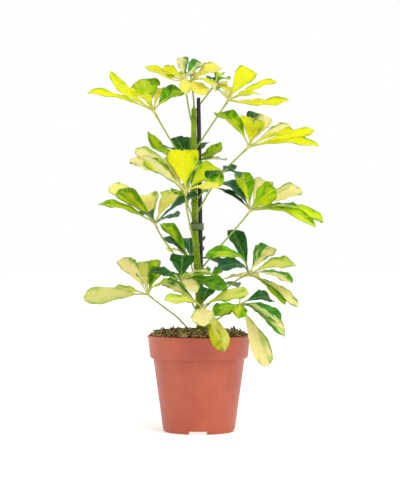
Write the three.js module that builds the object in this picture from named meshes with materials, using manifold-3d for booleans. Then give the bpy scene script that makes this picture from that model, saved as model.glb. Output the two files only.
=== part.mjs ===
// A potted umbrella plant: a green stem tied to a black stake, with palmate leaves, in a
// thin moulded plastic pot that is filled with peaty soil.
// Millimetres, +Z up, +X to the right and +Y away from the front. The pot stands on Z = 0.

import * as THREE from 'three';
import { mergeVertices } from 'three/addons/utils/BufferGeometryUtils.js';
import Module from 'manifold-3d';

const wasm = await Module();
wasm.setup();

// Driving dimensions

const POT_AXIS = new THREE.Vector3(-6.6, -20.4, 0);
const TOUCHING_GAP = 0.3;
const JOIN_TOLERANCE = 0.15;
const MERGE_DISTANCE = 1e-4;

const POT_HEIGHT = 110;
const POT_WALL = 1.6;
const POT_SIDES = 30;
const LIP_RADIUS = 60;
const LIP_HEIGHT = 2.4;
const LIP_CORNER = 0.6;
const BAND_TOP_RADIUS = 58.6;
const BAND_BOTTOM_RADIUS = 56.6;
const BAND_BOTTOM = 87;
const BAND_STEP = 1;
const BODY_TOP_RADIUS = 52.6;
const BODY_TOP = 83.5;
const FOOT_RADIUS = 41.4;
const FOOT_CORNER = 3;
const FOOT_CORNER_CUT = 0.3;
const FOOT_RING_WIDTH = 5;
const FOOT_RECESS = 3.8;
const FOOT_NOTCHES = 4;
const FOOT_NOTCH_WIDTH = 21;
const FOOT_NOTCH_HEIGHT = 3.5;
const FLOOR_CORNER = 2;
const DRAIN_HOLES = 6;
const DRAIN_HOLE_RADIUS = 4;
const DRAIN_HOLE_CIRCLE = 26;
const DRAIN_HOLE_SIDES = 10;

const SOIL_EDGE_TOP = 108;
const SOIL_EDGE_IN = 1;
const SOIL_HEAP = 7;
const SOIL_HEAP_FLATNESS = 6;
const SOIL_LUMP = 1.6;
const SOIL_FINE_LUMP = 0.8;
const SOIL_LUMP_PITCH = 0.19;
const SOIL_LUMP_SHIFT = 1.3;
const SOIL_RINGS = 4;
const SOIL_SIDES = 16;

const STEM_SIDES = 8;
const STEM_RINGS = 20;
const STEM_BASE_RADIUS = 4.8;
const STEM_TOP_RADIUS = 2.9;
const STEM_FOOT = 62;
const STEM_TOP = 372;
const STEM_NODE_SWELL = 0.5;
const STEM_NODE_SPACING = 24;
const STEM_NODE_LENGTH = 0.16;
const STEM_LINE = [
  [2.5, 0, STEM_FOOT],
  [2, 0, 108],
  [-1.7, 0, 185],
  [-4.6, 0, 236],
  [-5.8, 0, 317],
  [-5.9, 0, STEM_TOP],
];

const STAKE_RADIUS = 2.5;
const STAKE_SIDES = 8;
const STAKE_RINGS = 5;
const STAKE_POINT_LENGTH = 14;
const STAKE_FOOT_SHARE = 0.2;
const STAKE_TOP_SHARE = 0.72;
const STAKE_FOOT = [4.8, 10.4, 14];
const STAKE_TOP = [-0.6, 4.6, 384];

const TIE_HEIGHT = 8;
const TIE_MIDDLE = 235;
const TIE_WALL = 1.1;
const TIE_CLEARANCE = 0.5;
const TIE_STEM_RADIUS = 4.1;
const TIE_CURVE_SEGMENTS = 5;
const TIE_LUG = 1.4;
const TIE_LUG_WIDTH = 2;
const TIE_LUG_SPACING = 3.6;

const STALK_RADIUS = 1.1;
const STALK_SIDES = 6;
const STALK_STEPS = 5;
const HUB_RADIUS = 3.6;

const BLADE_THICKNESS = 0.8;
const BLADE_STATIONS = [0, 0.15, 0.36, 0.6, 0.84, 1];
const BLADE_COLUMNS = 2;
const BLADE_STALK_SHARE = 0.14;
const BLADE_STALK_HALF_WIDTH = 1;
const BLADE_TIP_SHARE = 0.4;
const BLADE_WIDEST = 2;
const BLADE_BLUNTNESS = 0.5;
const BLADE_WAVES = 2.6;
const BLADE_WAVE_HEIGHT = 0.13;
const BLADE_WAVE_SHIFT = 1.7;
const BLADE_HANDLES = [0.33, 0.7];
const BLADE_BOW_SHARE = 0.75;

// The leaves. Each has its hub and the way that its face looks, the points that its stalk
// passes on the way up from the stem's middle, and one row for each leaflet:
// [right, up, reach, width, nearBow, farBow, front, fold]
// right and up are from the hub to the leaflet's tip as seen from the front, and reach is
// the straight distance to the tip, with a plus where it leans away from the front and a
// minus where it leans forward. The two bows say how far the blade stands above that straight
// line, near the hub and near the tip. front is how far the blade's face is turned to the
// front, from -1 to 1, and fold is how far each half is folded up, in degrees.

const LEAVES = [
  {
    name: 'leaf_top_left',
    hub: [-52, -10, 367],
    faces: [-0.15, -0.35, 0.9],
    stalk: [[-5.7, 0, 296], [-10, -3, 303], [-27, -6, 325]],
    leaflets: [
      [-75, 19, -79, 21, 5, 3, 0.1, 20],
      [-51, 48, 73, 16, -1, -15, 0.1, 22],
      [-30, 32, 70, 22, 8, 7, 0.1, 18],
      [-14, 41, 58, 36, 13, 5, 0.5, -12],
      [34, 27, 62, 29, 7, 7, 0.4, 14],
      [9, 32, 60, 12, 4, 4, 0.2, 20],
      [-38, 25, -56, 18, 6, 2, 0.2, 18],
      [-16, 13, -54, 20, 9, 2, 0.2, 18],
    ],
  },
  {
    name: 'leaf_crown_left',
    hub: [-16, -6, 403],
    faces: [-0.1, -0.3, 0.95],
    stalk: [[-5.9, 0, 350], [-9.5, -2, 359], [-14, -4, 384]],
    leaflets: [
      [-47, 19, 62, 16, -2, -1, 0.1, 20],
      [-37, 8, -56, 18, -6, -3, 0.2, 20],
      [-30, 16, 52, 21, 3, 2, 0.4, 18],
      [-4, 30, 46, 15, 2, 2, 0.6, 18],
      [19, 24, 48, 20, 5, 5, 0.5, 16],
      [2, -20, -46, 15, 6, 4, 0.4, 18],
      [-16, 9, 52, 16, 5, 5, 0, 18],
    ],
  },
  {
    name: 'leaf_crown_right',
    hub: [-9, 12, 404],
    faces: [0.3, -0.2, 0.9],
    stalk: [[-5.9, 0, 368], [-5.9, 1, 378], [-6.7, 4, 386]],
    leaflets: [
      [32, 20, 50, 20, 4, 3, 0.35, 18],
      [12, -21, -48, 22, 4, 3, 0.45, 12],
      [10, 12, 50, 18, 5, 5, 0, 20],
      [-8, 10, 46, 16, 5, 5, 0, 20],
      [23, -8, -44, 18, 4, 3, 0.2, 18],
    ],
  },
  {
    name: 'leaf_small_back',
    hub: [19, 30, 402],
    faces: [0.2, -0.2, 0.9],
    stalk: [[-5.9, 0, 358], [-5.5, 7, 365], [2, 14, 378]],
    leaflets: [
      [5, 17, 38, 14, 4, 3, 0.4, 18],
      [-7, 9, 34, 12, 4, 4, 0, 20],
      [14, 2, -32, 14, 4, 3, 0.2, 20],
      [0, -11, -32, 12, 5, 4, 0.5, 18],
      [12, -11, -34, 14, 3, 2, 0.2, 18],
      [10, 3, 38, 14, 3, 3, 0, 20],
    ],
  },
  {
    name: 'leaf_upper_right',
    hub: [34, -5, 380],
    faces: [0.25, -0.35, 0.85],
    stalk: [[-5.8, 0, 320], [-3, -5, 325], [5, -6, 337], [21, -6, 361]],
    leaflets: [
      [26, 41, 66, 25, 4, 3, 0.5, 12],
      [57, 24, 67, 15, 3, 3, 0, 20],
      [68, -2.5, -72, 20, -5, -5, 0.25, 16],
      [-11, 7, -38, 19, 0, 0, 0.2, 20],
      [2, 20, 54, 15, 4, 4, 0.3, 18],
      [36, 12, 62, 16, 3, 3, 0, 20],
      [40, -3, -50, 13, -1, -2, 0.1, 20],
    ],
  },
  {
    name: 'leaf_right_second',
    hub: [57, -10, 326],
    faces: [0.3, -0.4, 0.85],
    stalk: [[-5, 0, 260], [1, -5, 270], [10, -7, 280], [37, -9, 307]],
    leaflets: [
      [-35, 42, 68, 27, 10, 8, 0.3, 16],
      [5, 37, 56, 30, 6, 2, 0.5, 12],
      [9, 45, 80, 23, 2, 2, -0.2, 22],
      [22, 40, 72, 21, 3, 2, 0.3, 16],
      [50, 29, 74, 16, 2, 1, 0.05, 20],
      [49, 14, -64, 21, 4, 2, 0.2, 18],
      [79, -1.5, -83, 19, 5, 6, 0.15, 18],
      [77, 22, 86, 20, 2, -5, 0.15, 18],
    ],
  },
  {
    name: 'leaf_front_middle',
    hub: [-15, -55, 273],
    faces: [0, -0.5, 0.85],
    stalk: [[-3, 0, 204], [-6, -12, 216], [-10, -30, 236], [-14, -45, 256]],
    leaflets: [
      [-4, 49, 57, 38, 5, 3, 0.5, 12],
      [37, 28, 56, 29, 6, 4, 0.45, 14],
      [16, 37, 58, 14, 2, 2, 0.3, 18],
      [37, 3, -52, 17, 5, 2, 0.2, 18],
      [-47, 36, 62, 19, 3, 5, 0.25, 20],
      [-63, 37, 78, 21, 12, 7, 0.3, 18],
      [-57, 51, 86, 20, 6, 4, 0.25, 18],
      [-30, 38, 62, 20, 4, 4, 0.35, 18],
      [3, 22, 60, 22, 8, 8, 0, 20],
    ],
  },
  {
    name: 'leaf_behind_upper',
    hub: [-11, 45, 310],
    faces: [0, 0.2, 0.95],
    stalk: [[-5, 0, 264], [-7, 10, 274], [-10, 30, 295]],
    leaflets: [
      [-50, 39, 67, 17, 0, -19, 0.45, 20],
      [-32, 22, 68, 15, 5, 5, 0, 20],
      [-18, 33, 48, 21, 3, 3, 0.45, 16],
      [0, 33, 46, 20, 3, 3, 0.45, 16],
      [22, 28, 56, 12, 2, 2, 0, 20],
      [37, 28, 58, 19, 3, -14, 0.4, 18],
      [43, 6, 62, 20, 3, 3, 0.3, 18],
      [4, -4, 74, 22, 8, 8, 0, 22],
    ],
  },
  {
    name: 'leaf_right_small',
    hub: [25.5, -48, 294],
    faces: [0, -0.3, 0.9],
    stalk: [[-4.8, 0, 243], [0, -14, 254], [13, -34, 276]],
    leaflets: [
      [13, 2, -34, 14, 5, 5, 0, 20],
      [-16, -8, -34, 14, 5, 5, 0, 20],
      [-7, -18, -34, 16, 6, 6, 0.3, 18],
      [12, 4, 32, 14, 4, 4, 0, 20],
      [20, -4, 34, 14, 5, 5, 0, 20],
    ],
  },
  {
    name: 'leaf_right_third',
    hub: [59, -15, 253],
    faces: [0.3, -0.4, 0.85],
    stalk: [[-1.5, 0, 181], [4, -7, 188], [18, -9, 205], [45, -12, 236]],
    leaflets: [
      [-33, 35, 70, 24, 7, 6, 0.15, 18],
      [-37, 27, 65, 15, 4, 2, 0, 20],
      [-10, 46, 64, 24, 4, 3, 0.45, 14],
      [18, 37, 68, 24, 5, 5, 0.3, 16],
      [28, 24, -41, 30, 5, 2, 0.4, 10],
      [60, 26, 74, 22, 5, 5, 0.3, 16],
      [72, -20, -82, 15, 13, 14, 0.35, 18],
      [85, -13, 90, 18, 12, 15, 0.45, 18],
      [51, 3, -64, 14, 5, 2, 0.15, 20],
    ],
  },
  {
    name: 'leaf_left_middle',
    hub: [-50, -20, 238],
    faces: [-0.2, -0.35, 0.9],
    stalk: [[-1, 0, 163], [-12, -3, 178], [-30, -7, 205], [-43, -15, 224]],
    leaflets: [
      [-66, 22, 73, 18, 6, 7, 0, 18],
      [-43, 39, 64, 22, 7, 5, 0.25, 18],
      [-53, 45, 80, 22, 7, 5, 0.35, 16],
      [-11, 34, 56, 27, 8, 4, 0.45, 14],
      [22, 35, 65, 21, 6, 3, 0.4, 16],
      [27, 7, -50, 19, 3, 2, 0, 18],
      [-12, 9, -44, 18, 7, 6, 0, 20],
      [50, 32, -61, 26, 4, 3, 0, 18],
    ],
  },
  {
    name: 'leaf_behind_lower',
    hub: [-10, 40, 195],
    faces: [0, 0.2, 0.95],
    stalk: [[-0.5, 0, 156], [-4, 12, 168], [-8, 30, 186]],
    leaflets: [
      [-34, 45, 72, 19, 6, 6, 0.4, 16],
      [-32, 28, 56, 22, 6, 6, 0.35, 16],
      [-3, 27, 50, 22, 6, 5, 0.35, 16],
      [12, 28, 58, 18, 6, 6, 0.3, 18],
      [-26, 11, 62, 18, 6, 6, 0.1, 20],
      [8, 8, 74, 22, 8, 8, 0, 20],
      [38, -4, 70, 20, 5, 5, 0, 20],
    ],
  },
  {
    name: 'leaf_front_low',
    hub: [-20, -35, 173],
    faces: [0, -0.4, 0.9],
    stalk: [[0.8, 0, 132], [-6, -12, 144], [-14, -26, 160]],
    leaflets: [
      [1, 29, 38, 29, 4, 3, 0.45, 14],
      [32, 11, -58, 15, 6, 4, 0, 20],
      [51, -10, -68, 21, 10, 6, 0.3, 18],
      [44, 3, 56, 14, 6, 6, 0, 20],
      [17, -12, -46, 18, 7, 5, 0.3, 18],
      [-19, 6, -50, 18, 7, 5, 0.2, 20],
      [-37, 9, 50, 17, 5, 5, 0.2, 20],
    ],
  },
  {
    name: 'leaf_lower_left',
    hub: [-58, -15, 157],
    faces: [-0.1, -0.4, 0.9],
    stalk: [
      [-5, -9.5, 92],
      [-8.2, -10, 112],
      [-18, -11, 124],
      [-27, -12, 133],
      [-47, -14, 148],
    ],
    leaflets: [
      [-73, -5, -77, 24, 5, 5, 0.5, 16],
      [-33, 41, 68, 21, 6, 5, 0.3, 16],
      [-10, 23, -42, 14, 4, 3, 0.2, 20],
      [-8, 37, 57, 18, 5, 4, 0.35, 18],
      [8, 40, 72, 16, 2, 1, 0.1, 22],
      [15, 31, 56, 18, 6, 5, 0.25, 18],
      [23, 13, -48, 19, 6, 3, 0.2, 18],
      [-46, 3, 66, 17, 4, 3, 0.2, 18],
    ],
  },
  {
    name: 'leaf_front_lowest',
    hub: [3, -55, 144],
    faces: [0, -0.6, 0.8],
    stalk: [[1.5, 0, 118], [2, -14, 125], [3, -36, 137]],
    leaflets: [
      [2, -19, -44, 28, 6, 4, 0.4, 12],
      [8, 20, 42, 24, 5, 5, 0.2, 18],
      [-45, 28, 60, 16, 8, 7, 0.3, 18],
      [-41, 9, -56, 16, 8, 4, 0.25, 18],
      [52, 16, -64, 21, 7, 3, 0.2, 18],
      [25, -47, -61, 22, 10, 6, 0.3, 16],
    ],
  },
  {
    name: 'leaf_right_lower',
    hub: [57, -5, 180],
    faces: [0.2, -0.3, 0.9],
    stalk: [[0.5, 0, 136], [8, -6, 143], [40, -6, 171]],
    leaflets: [
      [-18, 52, 72, 22, 6, 4, 0.35, 16],
      [-50, 20, -66, 22, 19, 14, 0.25, 16],
      [-36, 7, -52, 21, 12, 10, 0.35, 16],
      [26, 32, 60, 26, 6, 4, 0.3, 16],
      [55, 12, 71, 24, 7, 4, 0.25, 16],
      [48, -9, -64, 18, 8, 5, 0.25, 18],
      [54, -37, -76, 16, 7, 6, 0.35, 18],
      [40, -34, -62, 13, 6, 4, 0.2, 18],
    ],
  },
  {
    name: 'leaf_right_lowest',
    hub: [46, -25, 146],
    faces: [0.2, -0.5, 0.85],
    stalk: [[1.6, 0, 115], [9, -7, 121], [24, -14, 131]],
    leaflets: [
      [38, 4, 60, 22, 9, 7, 0.35, 16],
      [45, -18, -64, 18, 10, 8, 0.35, 16],
      [49, -34, -75, 16, 13, 13, 0.4, 18],
      [30, -69, -82, 24, 8, 6, 0.5, 16],
      [-28, -11, -50, 22, 4, 3, 0.15, 20],
      [-1, 11, 48, 18, 6, 6, 0, 20],
      [-3, -14, -46, 19, 6, 4, 0.25, 18],
    ],
  },
  {
    name: 'leaf_back_left',
    hub: [-14, 52, 262],
    faces: [-0.1, 0.4, 0.9],
    stalk: [[-3.6, 0, 222], [-4.5, 14, 230], [-9, 36, 249]],
    leaflets: [
      [-30, 10, 64, 20, 8, 8, 0, 20],
      [-14, 14, 66, 20, 9, 9, 0, 20],
      [6, 12, 68, 22, 9, 9, 0, 20],
      [24, 16, 62, 20, 8, 8, 0, 20],
      [-8, 26, 50, 18, 6, 6, 0, 20],
    ],
  },
  {
    name: 'leaf_back_low',
    hub: [14, 54, 166],
    faces: [0.1, 0.4, 0.9],
    stalk: [[0.2, 0, 144], [-1, 14, 148], [8, 38, 158]],
    leaflets: [
      [-50, 4, 74, 20, 8, 8, 0, 20],
      [-26, -4, 78, 20, 9, 9, 0, 20],
      [4, -8, 82, 20, 5, 5, 0, 20],
      [34, -4, 78, 20, 3, 3, 0, 20],
      [60, 8, 70, 20, 6, 6, 0, 20],
      [20, 18, 54, 20, 6, 6, 0, 20],
    ],
  },
];

// Solids

function solidFrom(geometry) {
  const bare = geometry.clone();
  bare.deleteAttribute('normal');
  bare.deleteAttribute('uv');
  const merged = mergeVertices(bare, MERGE_DISTANCE);
  const mesh = new wasm.Mesh({
    numProp: 3,
    vertProperties: new Float32Array(merged.attributes.position.array),
    triVerts: new Uint32Array(merged.index.array),
  });
  return new wasm.Manifold(mesh);
}

function geometryFrom(solid) {
  const mesh = solid.getMesh();
  const geometry = new THREE.BufferGeometry();
  geometry.setAttribute('position', new THREE.BufferAttribute(mesh.vertProperties, 3));
  geometry.setIndex(new THREE.BufferAttribute(mesh.triVerts, 1));
  return geometry;
}

function joined(solids) {
  return solids.reduce((whole, solid) => whole.add(solid));
}

// The biggest single body of a solid, without loose scraps or hollows that joining has sealed.
function mainBody(solid) {
  const bodies = solid.decompose();
  return bodies.reduce((main, body) => (body.volume() > main.volume() ? body : main));
}

function lathed(outline, sides) {
  const geometry = new THREE.LatheGeometry(outline, sides);
  geometry.rotateX(Math.PI / 2);
  return geometry;
}

function point(x, y) {
  return new THREE.Vector2(x, y);
}

// A round bar along a line of points, with its radius set by its height along the line.
function taperedBar(line, radiusAt, sides, rings) {
  const path = new THREE.CatmullRomCurve3(line.map((p) => new THREE.Vector3(...p)));
  const geometry = new THREE.CylinderGeometry(1, 1, 1, sides, rings);
  const position = geometry.attributes.position;
  for (let i = 0; i < position.count; i += 1) {
    const share = position.getY(i) + 0.5;
    const centre = path.getPoint(share);
    const radius = radiusAt(share, centre.z);
    position.setXYZ(
      i,
      centre.x + radius * position.getX(i),
      centre.y - radius * position.getZ(i),
      centre.z,
    );
  }
  return solidFrom(geometry);
}

// Pot

function potOutline() {
  const floor = FOOT_RECESS + POT_WALL;
  return [
    point(0, FOOT_RECESS),
    point(FOOT_RADIUS - FOOT_RING_WIDTH, FOOT_RECESS),
    point(FOOT_RADIUS - FOOT_RING_WIDTH, 0),
    point(FOOT_RADIUS - FOOT_CORNER, 0),
    point(FOOT_RADIUS - FOOT_CORNER_CUT * FOOT_CORNER, FOOT_CORNER_CUT * FOOT_CORNER),
    point(FOOT_RADIUS, FOOT_CORNER),
    point(BODY_TOP_RADIUS, BODY_TOP),
    point(BAND_BOTTOM_RADIUS - BAND_STEP, BODY_TOP + BAND_STEP),
    point(BAND_BOTTOM_RADIUS, BAND_BOTTOM),
    point(BAND_TOP_RADIUS, POT_HEIGHT - LIP_HEIGHT - BAND_STEP),
    point(LIP_RADIUS, POT_HEIGHT - LIP_HEIGHT),
    point(LIP_RADIUS, POT_HEIGHT - LIP_CORNER),
    point(LIP_RADIUS - LIP_CORNER, POT_HEIGHT),
    point(BAND_TOP_RADIUS - POT_WALL, POT_HEIGHT),
    point(BAND_BOTTOM_RADIUS - POT_WALL, BAND_BOTTOM + BAND_STEP),
    point(BODY_TOP_RADIUS - POT_WALL, BODY_TOP - BAND_STEP),
    point(FOOT_RADIUS - POT_WALL, floor + FLOOR_CORNER),
    point(FOOT_RADIUS - POT_WALL - FLOOR_CORNER, floor),
    point(0, floor),
  ];
}

function potSolid() {
  let pot = solidFrom(lathed(potOutline(), POT_SIDES));
  for (let i = 0; i < FOOT_NOTCHES; i += 1) {
    const notch = new THREE.BoxGeometry(FOOT_NOTCH_WIDTH, 2 * FOOT_RING_WIDTH, 2 * FOOT_NOTCH_HEIGHT);
    notch.translate(0, FOOT_RING_WIDTH / 2 - FOOT_RADIUS, 0);
    notch.rotateZ((i * 2 * Math.PI) / FOOT_NOTCHES);
    pot = pot.subtract(solidFrom(notch));
  }
  for (let i = 0; i < DRAIN_HOLES; i += 1) {
    const hole = new THREE.CylinderGeometry(
      DRAIN_HOLE_RADIUS,
      DRAIN_HOLE_RADIUS,
      POT_HEIGHT,
      DRAIN_HOLE_SIDES,
    );
    hole.rotateX(Math.PI / 2);
    hole.translate(DRAIN_HOLE_CIRCLE, 0, 0);
    hole.rotateZ(((i + 0.5) * 2 * Math.PI) / DRAIN_HOLES);
    pot = pot.subtract(solidFrom(hole));
  }
  return pot;
}

// Soil

function soilLump(x, y) {
  const broad = Math.sin(x * SOIL_LUMP_PITCH + SOIL_LUMP_SHIFT) * Math.cos(y * SOIL_LUMP_PITCH);
  const fine = Math.sin((x + y) * 2 * SOIL_LUMP_PITCH);
  return SOIL_LUMP * broad + SOIL_FINE_LUMP * fine;
}

function soilSolid(holes) {
  const gap = TOUCHING_GAP;
  const floor = FOOT_RECESS + POT_WALL;
  const top = [];
  const edge = BAND_TOP_RADIUS - POT_WALL - gap - SOIL_EDGE_IN;
  for (let ring = 1; ring <= SOIL_RINGS; ring += 1) {
    const share = 1 - ring / SOIL_RINGS;
    const height = SOIL_EDGE_TOP + SOIL_HEAP * (1 - share ** SOIL_HEAP_FLATNESS);
    top.push(point(edge * share, height));
  }
  const outline = [
    point(0, floor + gap),
    point(FOOT_RADIUS - POT_WALL - FLOOR_CORNER - gap, floor + gap),
    point(FOOT_RADIUS - POT_WALL - gap, floor + FLOOR_CORNER + gap),
    point(BODY_TOP_RADIUS - POT_WALL - gap, BODY_TOP - BAND_STEP),
    point(BAND_BOTTOM_RADIUS - POT_WALL - gap, BAND_BOTTOM + BAND_STEP + gap),
    point(edge, SOIL_EDGE_TOP - SOIL_EDGE_IN),
    ...top,
  ];
  const geometry = lathed(outline, SOIL_SIDES);
  const position = geometry.attributes.position;
  for (let i = 0; i < position.count; i += 1) {
    const height = position.getZ(i);
    if (height >= SOIL_EDGE_TOP) {
      position.setZ(i, height + soilLump(position.getX(i), position.getY(i)));
    }
  }
  return holes.reduce((soil, hole) => soil.subtract(hole), solidFrom(geometry));
}

// Stem and stake

function stemSolid(extra) {
  const radiusAt = (share, height) => {
    const plain = STEM_BASE_RADIUS + (STEM_TOP_RADIUS - STEM_BASE_RADIUS) * share;
    const fromNode = ((height / STEM_NODE_SPACING) % 1) - 0.5;
    const swell = STEM_NODE_SWELL * Math.exp(-((fromNode / STEM_NODE_LENGTH) ** 2));
    return plain + swell + extra;
  };
  return taperedBar(STEM_LINE, radiusAt, STEM_SIDES, STEM_RINGS);
}

function stakeSolid(extra) {
  const length = STAKE_TOP[2] - STAKE_FOOT[2];
  const radiusAt = (share) => {
    const fromFoot = Math.min(1, (share * length) / STAKE_POINT_LENGTH);
    const fromTop = Math.min(1, ((1 - share) * length) / STAKE_POINT_LENGTH);
    const sharpened = THREE.MathUtils.lerp(STAKE_FOOT_SHARE, 1, fromFoot);
    const worn = THREE.MathUtils.lerp(STAKE_TOP_SHARE, 1, fromTop);
    return STAKE_RADIUS * sharpened * worn + extra;
  };
  const middle = STAKE_FOOT.map((value, axis) => (value + STAKE_TOP[axis]) / 2);
  return taperedBar([STAKE_FOOT, middle, STAKE_TOP], radiusAt, STAKE_SIDES, STAKE_RINGS);
}

// Tie

function lineAt(line, height) {
  const above = line.findIndex((p) => p[2] >= height);
  const low = new THREE.Vector3(...line[above - 1]);
  const high = new THREE.Vector3(...line[above]);
  return low.lerp(high, (height - low.z) / (high.z - low.z));
}

function loopOutline(first, firstRadius, second, secondRadius) {
  const along = second.clone().sub(first);
  const angle = Math.atan2(along.y, along.x);
  const spread = Math.acos((firstRadius - secondRadius) / Math.hypot(along.x, along.y));
  const shape = new THREE.Shape();
  shape.absarc(first.x, first.y, firstRadius, angle + spread, angle - spread + 2 * Math.PI, false);
  shape.absarc(second.x, second.y, secondRadius, angle - spread, angle + spread, false);
  return shape;
}

function loopSolid(outline, height) {
  const geometry = new THREE.ExtrudeGeometry(outline, {
    depth: height,
    bevelEnabled: false,
    curveSegments: TIE_CURVE_SEGMENTS,
  });
  geometry.translate(0, 0, TIE_MIDDLE - height / 2);
  return solidFrom(geometry);
}

function tieSolid() {
  const stem = lineAt(STEM_LINE, TIE_MIDDLE);
  const stake = lineAt([STAKE_FOOT, STAKE_TOP], TIE_MIDDLE);
  const stemRadius = TIE_STEM_RADIUS + TIE_CLEARANCE;
  const stakeRadius = STAKE_RADIUS + TIE_CLEARANCE;
  const outer = loopOutline(stem, stemRadius + TIE_WALL, stake, stakeRadius + TIE_WALL);
  const inner = loopOutline(stem, stemRadius, stake, stakeRadius);
  const band = loopSolid(outer, TIE_HEIGHT).subtract(loopSolid(inner, 2 * TIE_HEIGHT));
  const lugs = [-1, 1].map((side) => {
    const lug = new THREE.BoxGeometry(2 * TIE_LUG, TIE_LUG_WIDTH, TIE_LUG);
    lug.translate(stem.x - stemRadius - TIE_LUG, stem.y, TIE_MIDDLE + (side * TIE_LUG_SPACING) / 2);
    return solidFrom(lug);
  });
  return joined([band, ...lugs]);
}

// Leaves

function bladeHalfWidth(share, width) {
  if (share <= BLADE_STALK_SHARE) {
    return BLADE_STALK_HALF_WIDTH;
  }
  const along = (share - BLADE_STALK_SHARE) / (1 - BLADE_STALK_SHARE);
  const swell = Math.sin(Math.PI * along ** BLADE_WIDEST) ** BLADE_BLUNTNESS;
  const least = THREE.MathUtils.lerp(BLADE_STALK_HALF_WIDTH, (BLADE_TIP_SHARE * width) / 2, along);
  return Math.max(least, (width / 2) * swell);
}

// One leaflet: a thin blade that bends in one plane, folded a little along its midrib.
function bladeSolid(hub, faces, row, number) {
  const [right, up, reach, width, nearBow, farBow, front, fold] = row;
  const away = Math.sign(reach) * Math.sqrt(Math.max(0, reach * reach - right * right - up * up));
  const tip = new THREE.Vector3(right, away, up).add(hub);
  const chord = tip.clone().sub(hub);
  const ahead = chord.clone().normalize();
  const toFront = new THREE.Vector3(0, -1, 0);
  const looks = faces.clone().multiplyScalar(1 - Math.abs(front)).addScaledVector(toFront, front);
  const face = looks.addScaledVector(ahead, -looks.dot(ahead)).normalize();
  const side = ahead.clone().cross(face);

  const middle = new THREE.CubicBezierCurve3(
    hub,
    ...[nearBow, farBow].map((bow, i) => (
      hub.clone().addScaledVector(chord, BLADE_HANDLES[i]).addScaledVector(face, bow / BLADE_BOW_SHARE)
    )),
    tip,
  );

  const foldAngle = THREE.MathUtils.degToRad(fold);
  const rows = BLADE_STATIONS.length - 1;
  const sheet = new THREE.PlaneGeometry(2, rows, BLADE_COLUMNS, rows);
  const flat = sheet.attributes.position;
  const points = [];
  for (const layer of [0.5, -0.5]) {
    for (let i = 0; i < flat.count; i += 1) {
      const across = flat.getX(i);
      const share = BLADE_STATIONS[Math.round(rows / 2 + flat.getY(i))];
      const centre = middle.getPoint(share);
      const normal = side.clone().cross(middle.getTangent(share)).normalize();
      const half = bladeHalfWidth(share, width);
      const wave = Math.sin(2 * Math.PI * BLADE_WAVES * share + BLADE_WAVE_SHIFT * number + across);
      const lift = Math.abs(across) * half * (Math.sin(foldAngle) + BLADE_WAVE_HEIGHT * wave);
      centre.addScaledVector(side, across * half * Math.cos(foldAngle));
      centre.addScaledVector(normal, lift + layer * BLADE_THICKNESS);
      points.push(centre.x, centre.y, centre.z);
    }
  }
  const upper = Array.from(sheet.index.array);
  const triangles = [...upper];
  for (let i = 0; i < upper.length; i += 3) {
    triangles.push(upper[i + 2] + flat.count, upper[i + 1] + flat.count, upper[i] + flat.count);
  }
  const edge = sheetEdge(BLADE_COLUMNS, rows);
  edge.forEach((from, i) => {
    const to = edge[(i + 1) % edge.length];
    triangles.push(from, to, from + flat.count, to, to + flat.count, from + flat.count);
  });
  const geometry = new THREE.BufferGeometry();
  geometry.setAttribute('position', new THREE.Float32BufferAttribute(points, 3));
  geometry.setIndex(triangles);
  return solidFrom(geometry);
}

// The numbers of a plane's edge points, in order round it.
function sheetEdge(columns, rows) {
  const wide = columns + 1;
  const edge = [];
  for (let i = 0; i < columns; i += 1) {
    edge.push(i);
  }
  for (let j = 0; j < rows; j += 1) {
    edge.push(j * wide + columns);
  }
  for (let i = columns; i > 0; i -= 1) {
    edge.push(rows * wide + i);
  }
  for (let j = rows; j > 0; j -= 1) {
    edge.push(j * wide);
  }
  return edge;
}

function stalkSolid(leaf, radius) {
  const line = [...leaf.stalk, leaf.hub].map((p) => new THREE.Vector3(...p));
  const section = new THREE.Shape();
  section.absarc(0, 0, radius, 0, 2 * Math.PI, false);
  return solidFrom(new THREE.ExtrudeGeometry(section, {
    steps: STALK_STEPS,
    curveSegments: STALK_SIDES / 2,
    extrudePath: new THREE.CatmullRomCurve3(line),
  }));
}

function leafSolid(leaf, stemRoom) {
  const hub = new THREE.Vector3(...leaf.hub);
  const faces = new THREE.Vector3(...leaf.faces).normalize();
  const ball = new THREE.OctahedronGeometry(HUB_RADIUS, 0);
  ball.translate(hub.x, hub.y, hub.z);
  const blades = leaf.leaflets.map((row, number) => bladeSolid(hub, faces, row, number));
  const whole = joined([stalkSolid(leaf, STALK_RADIUS), solidFrom(ball), ...blades]);
  return mainBody(whole.subtract(stemRoom).simplify(JOIN_TOLERANCE));
}

// The plant in its pot

const plant = new THREE.Group();
plant.position.copy(POT_AXIS);

function addMesh(name, solid, colour, roughness, metalness = 0) {
  const material = new THREE.MeshStandardMaterial({ color: colour, roughness, metalness });
  const mesh = new THREE.Mesh(geometryFrom(solid), material);
  mesh.name = name;
  plant.add(mesh);
}

const stem = stemSolid(0);
const stemRoom = stemSolid(TOUCHING_GAP);
const stakeRoom = stakeSolid(TOUCHING_GAP);
const rooted = LEAVES.find((leaf) => leaf.name === 'leaf_lower_left');
const rootedRoom = stalkSolid(rooted, STALK_RADIUS + TOUCHING_GAP);

addMesh('pot', potSolid(), 0xc9694e, 0.5);
addMesh('soil', soilSolid([stemRoom, stakeRoom, rootedRoom]), 0x4f3a26, 0.95);
addMesh('stem', stem, 0x6f9a0c, 0.45);
addMesh('stake', stakeSolid(0), 0x10161c, 0.4);
addMesh('tie', tieSolid(), 0x6d7a66, 0.35);
for (const leaf of LEAVES) {
  addMesh(leaf.name, leafSolid(leaf, stemRoom), 0xa9c61e, 0.45);
}

export default plant;
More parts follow.
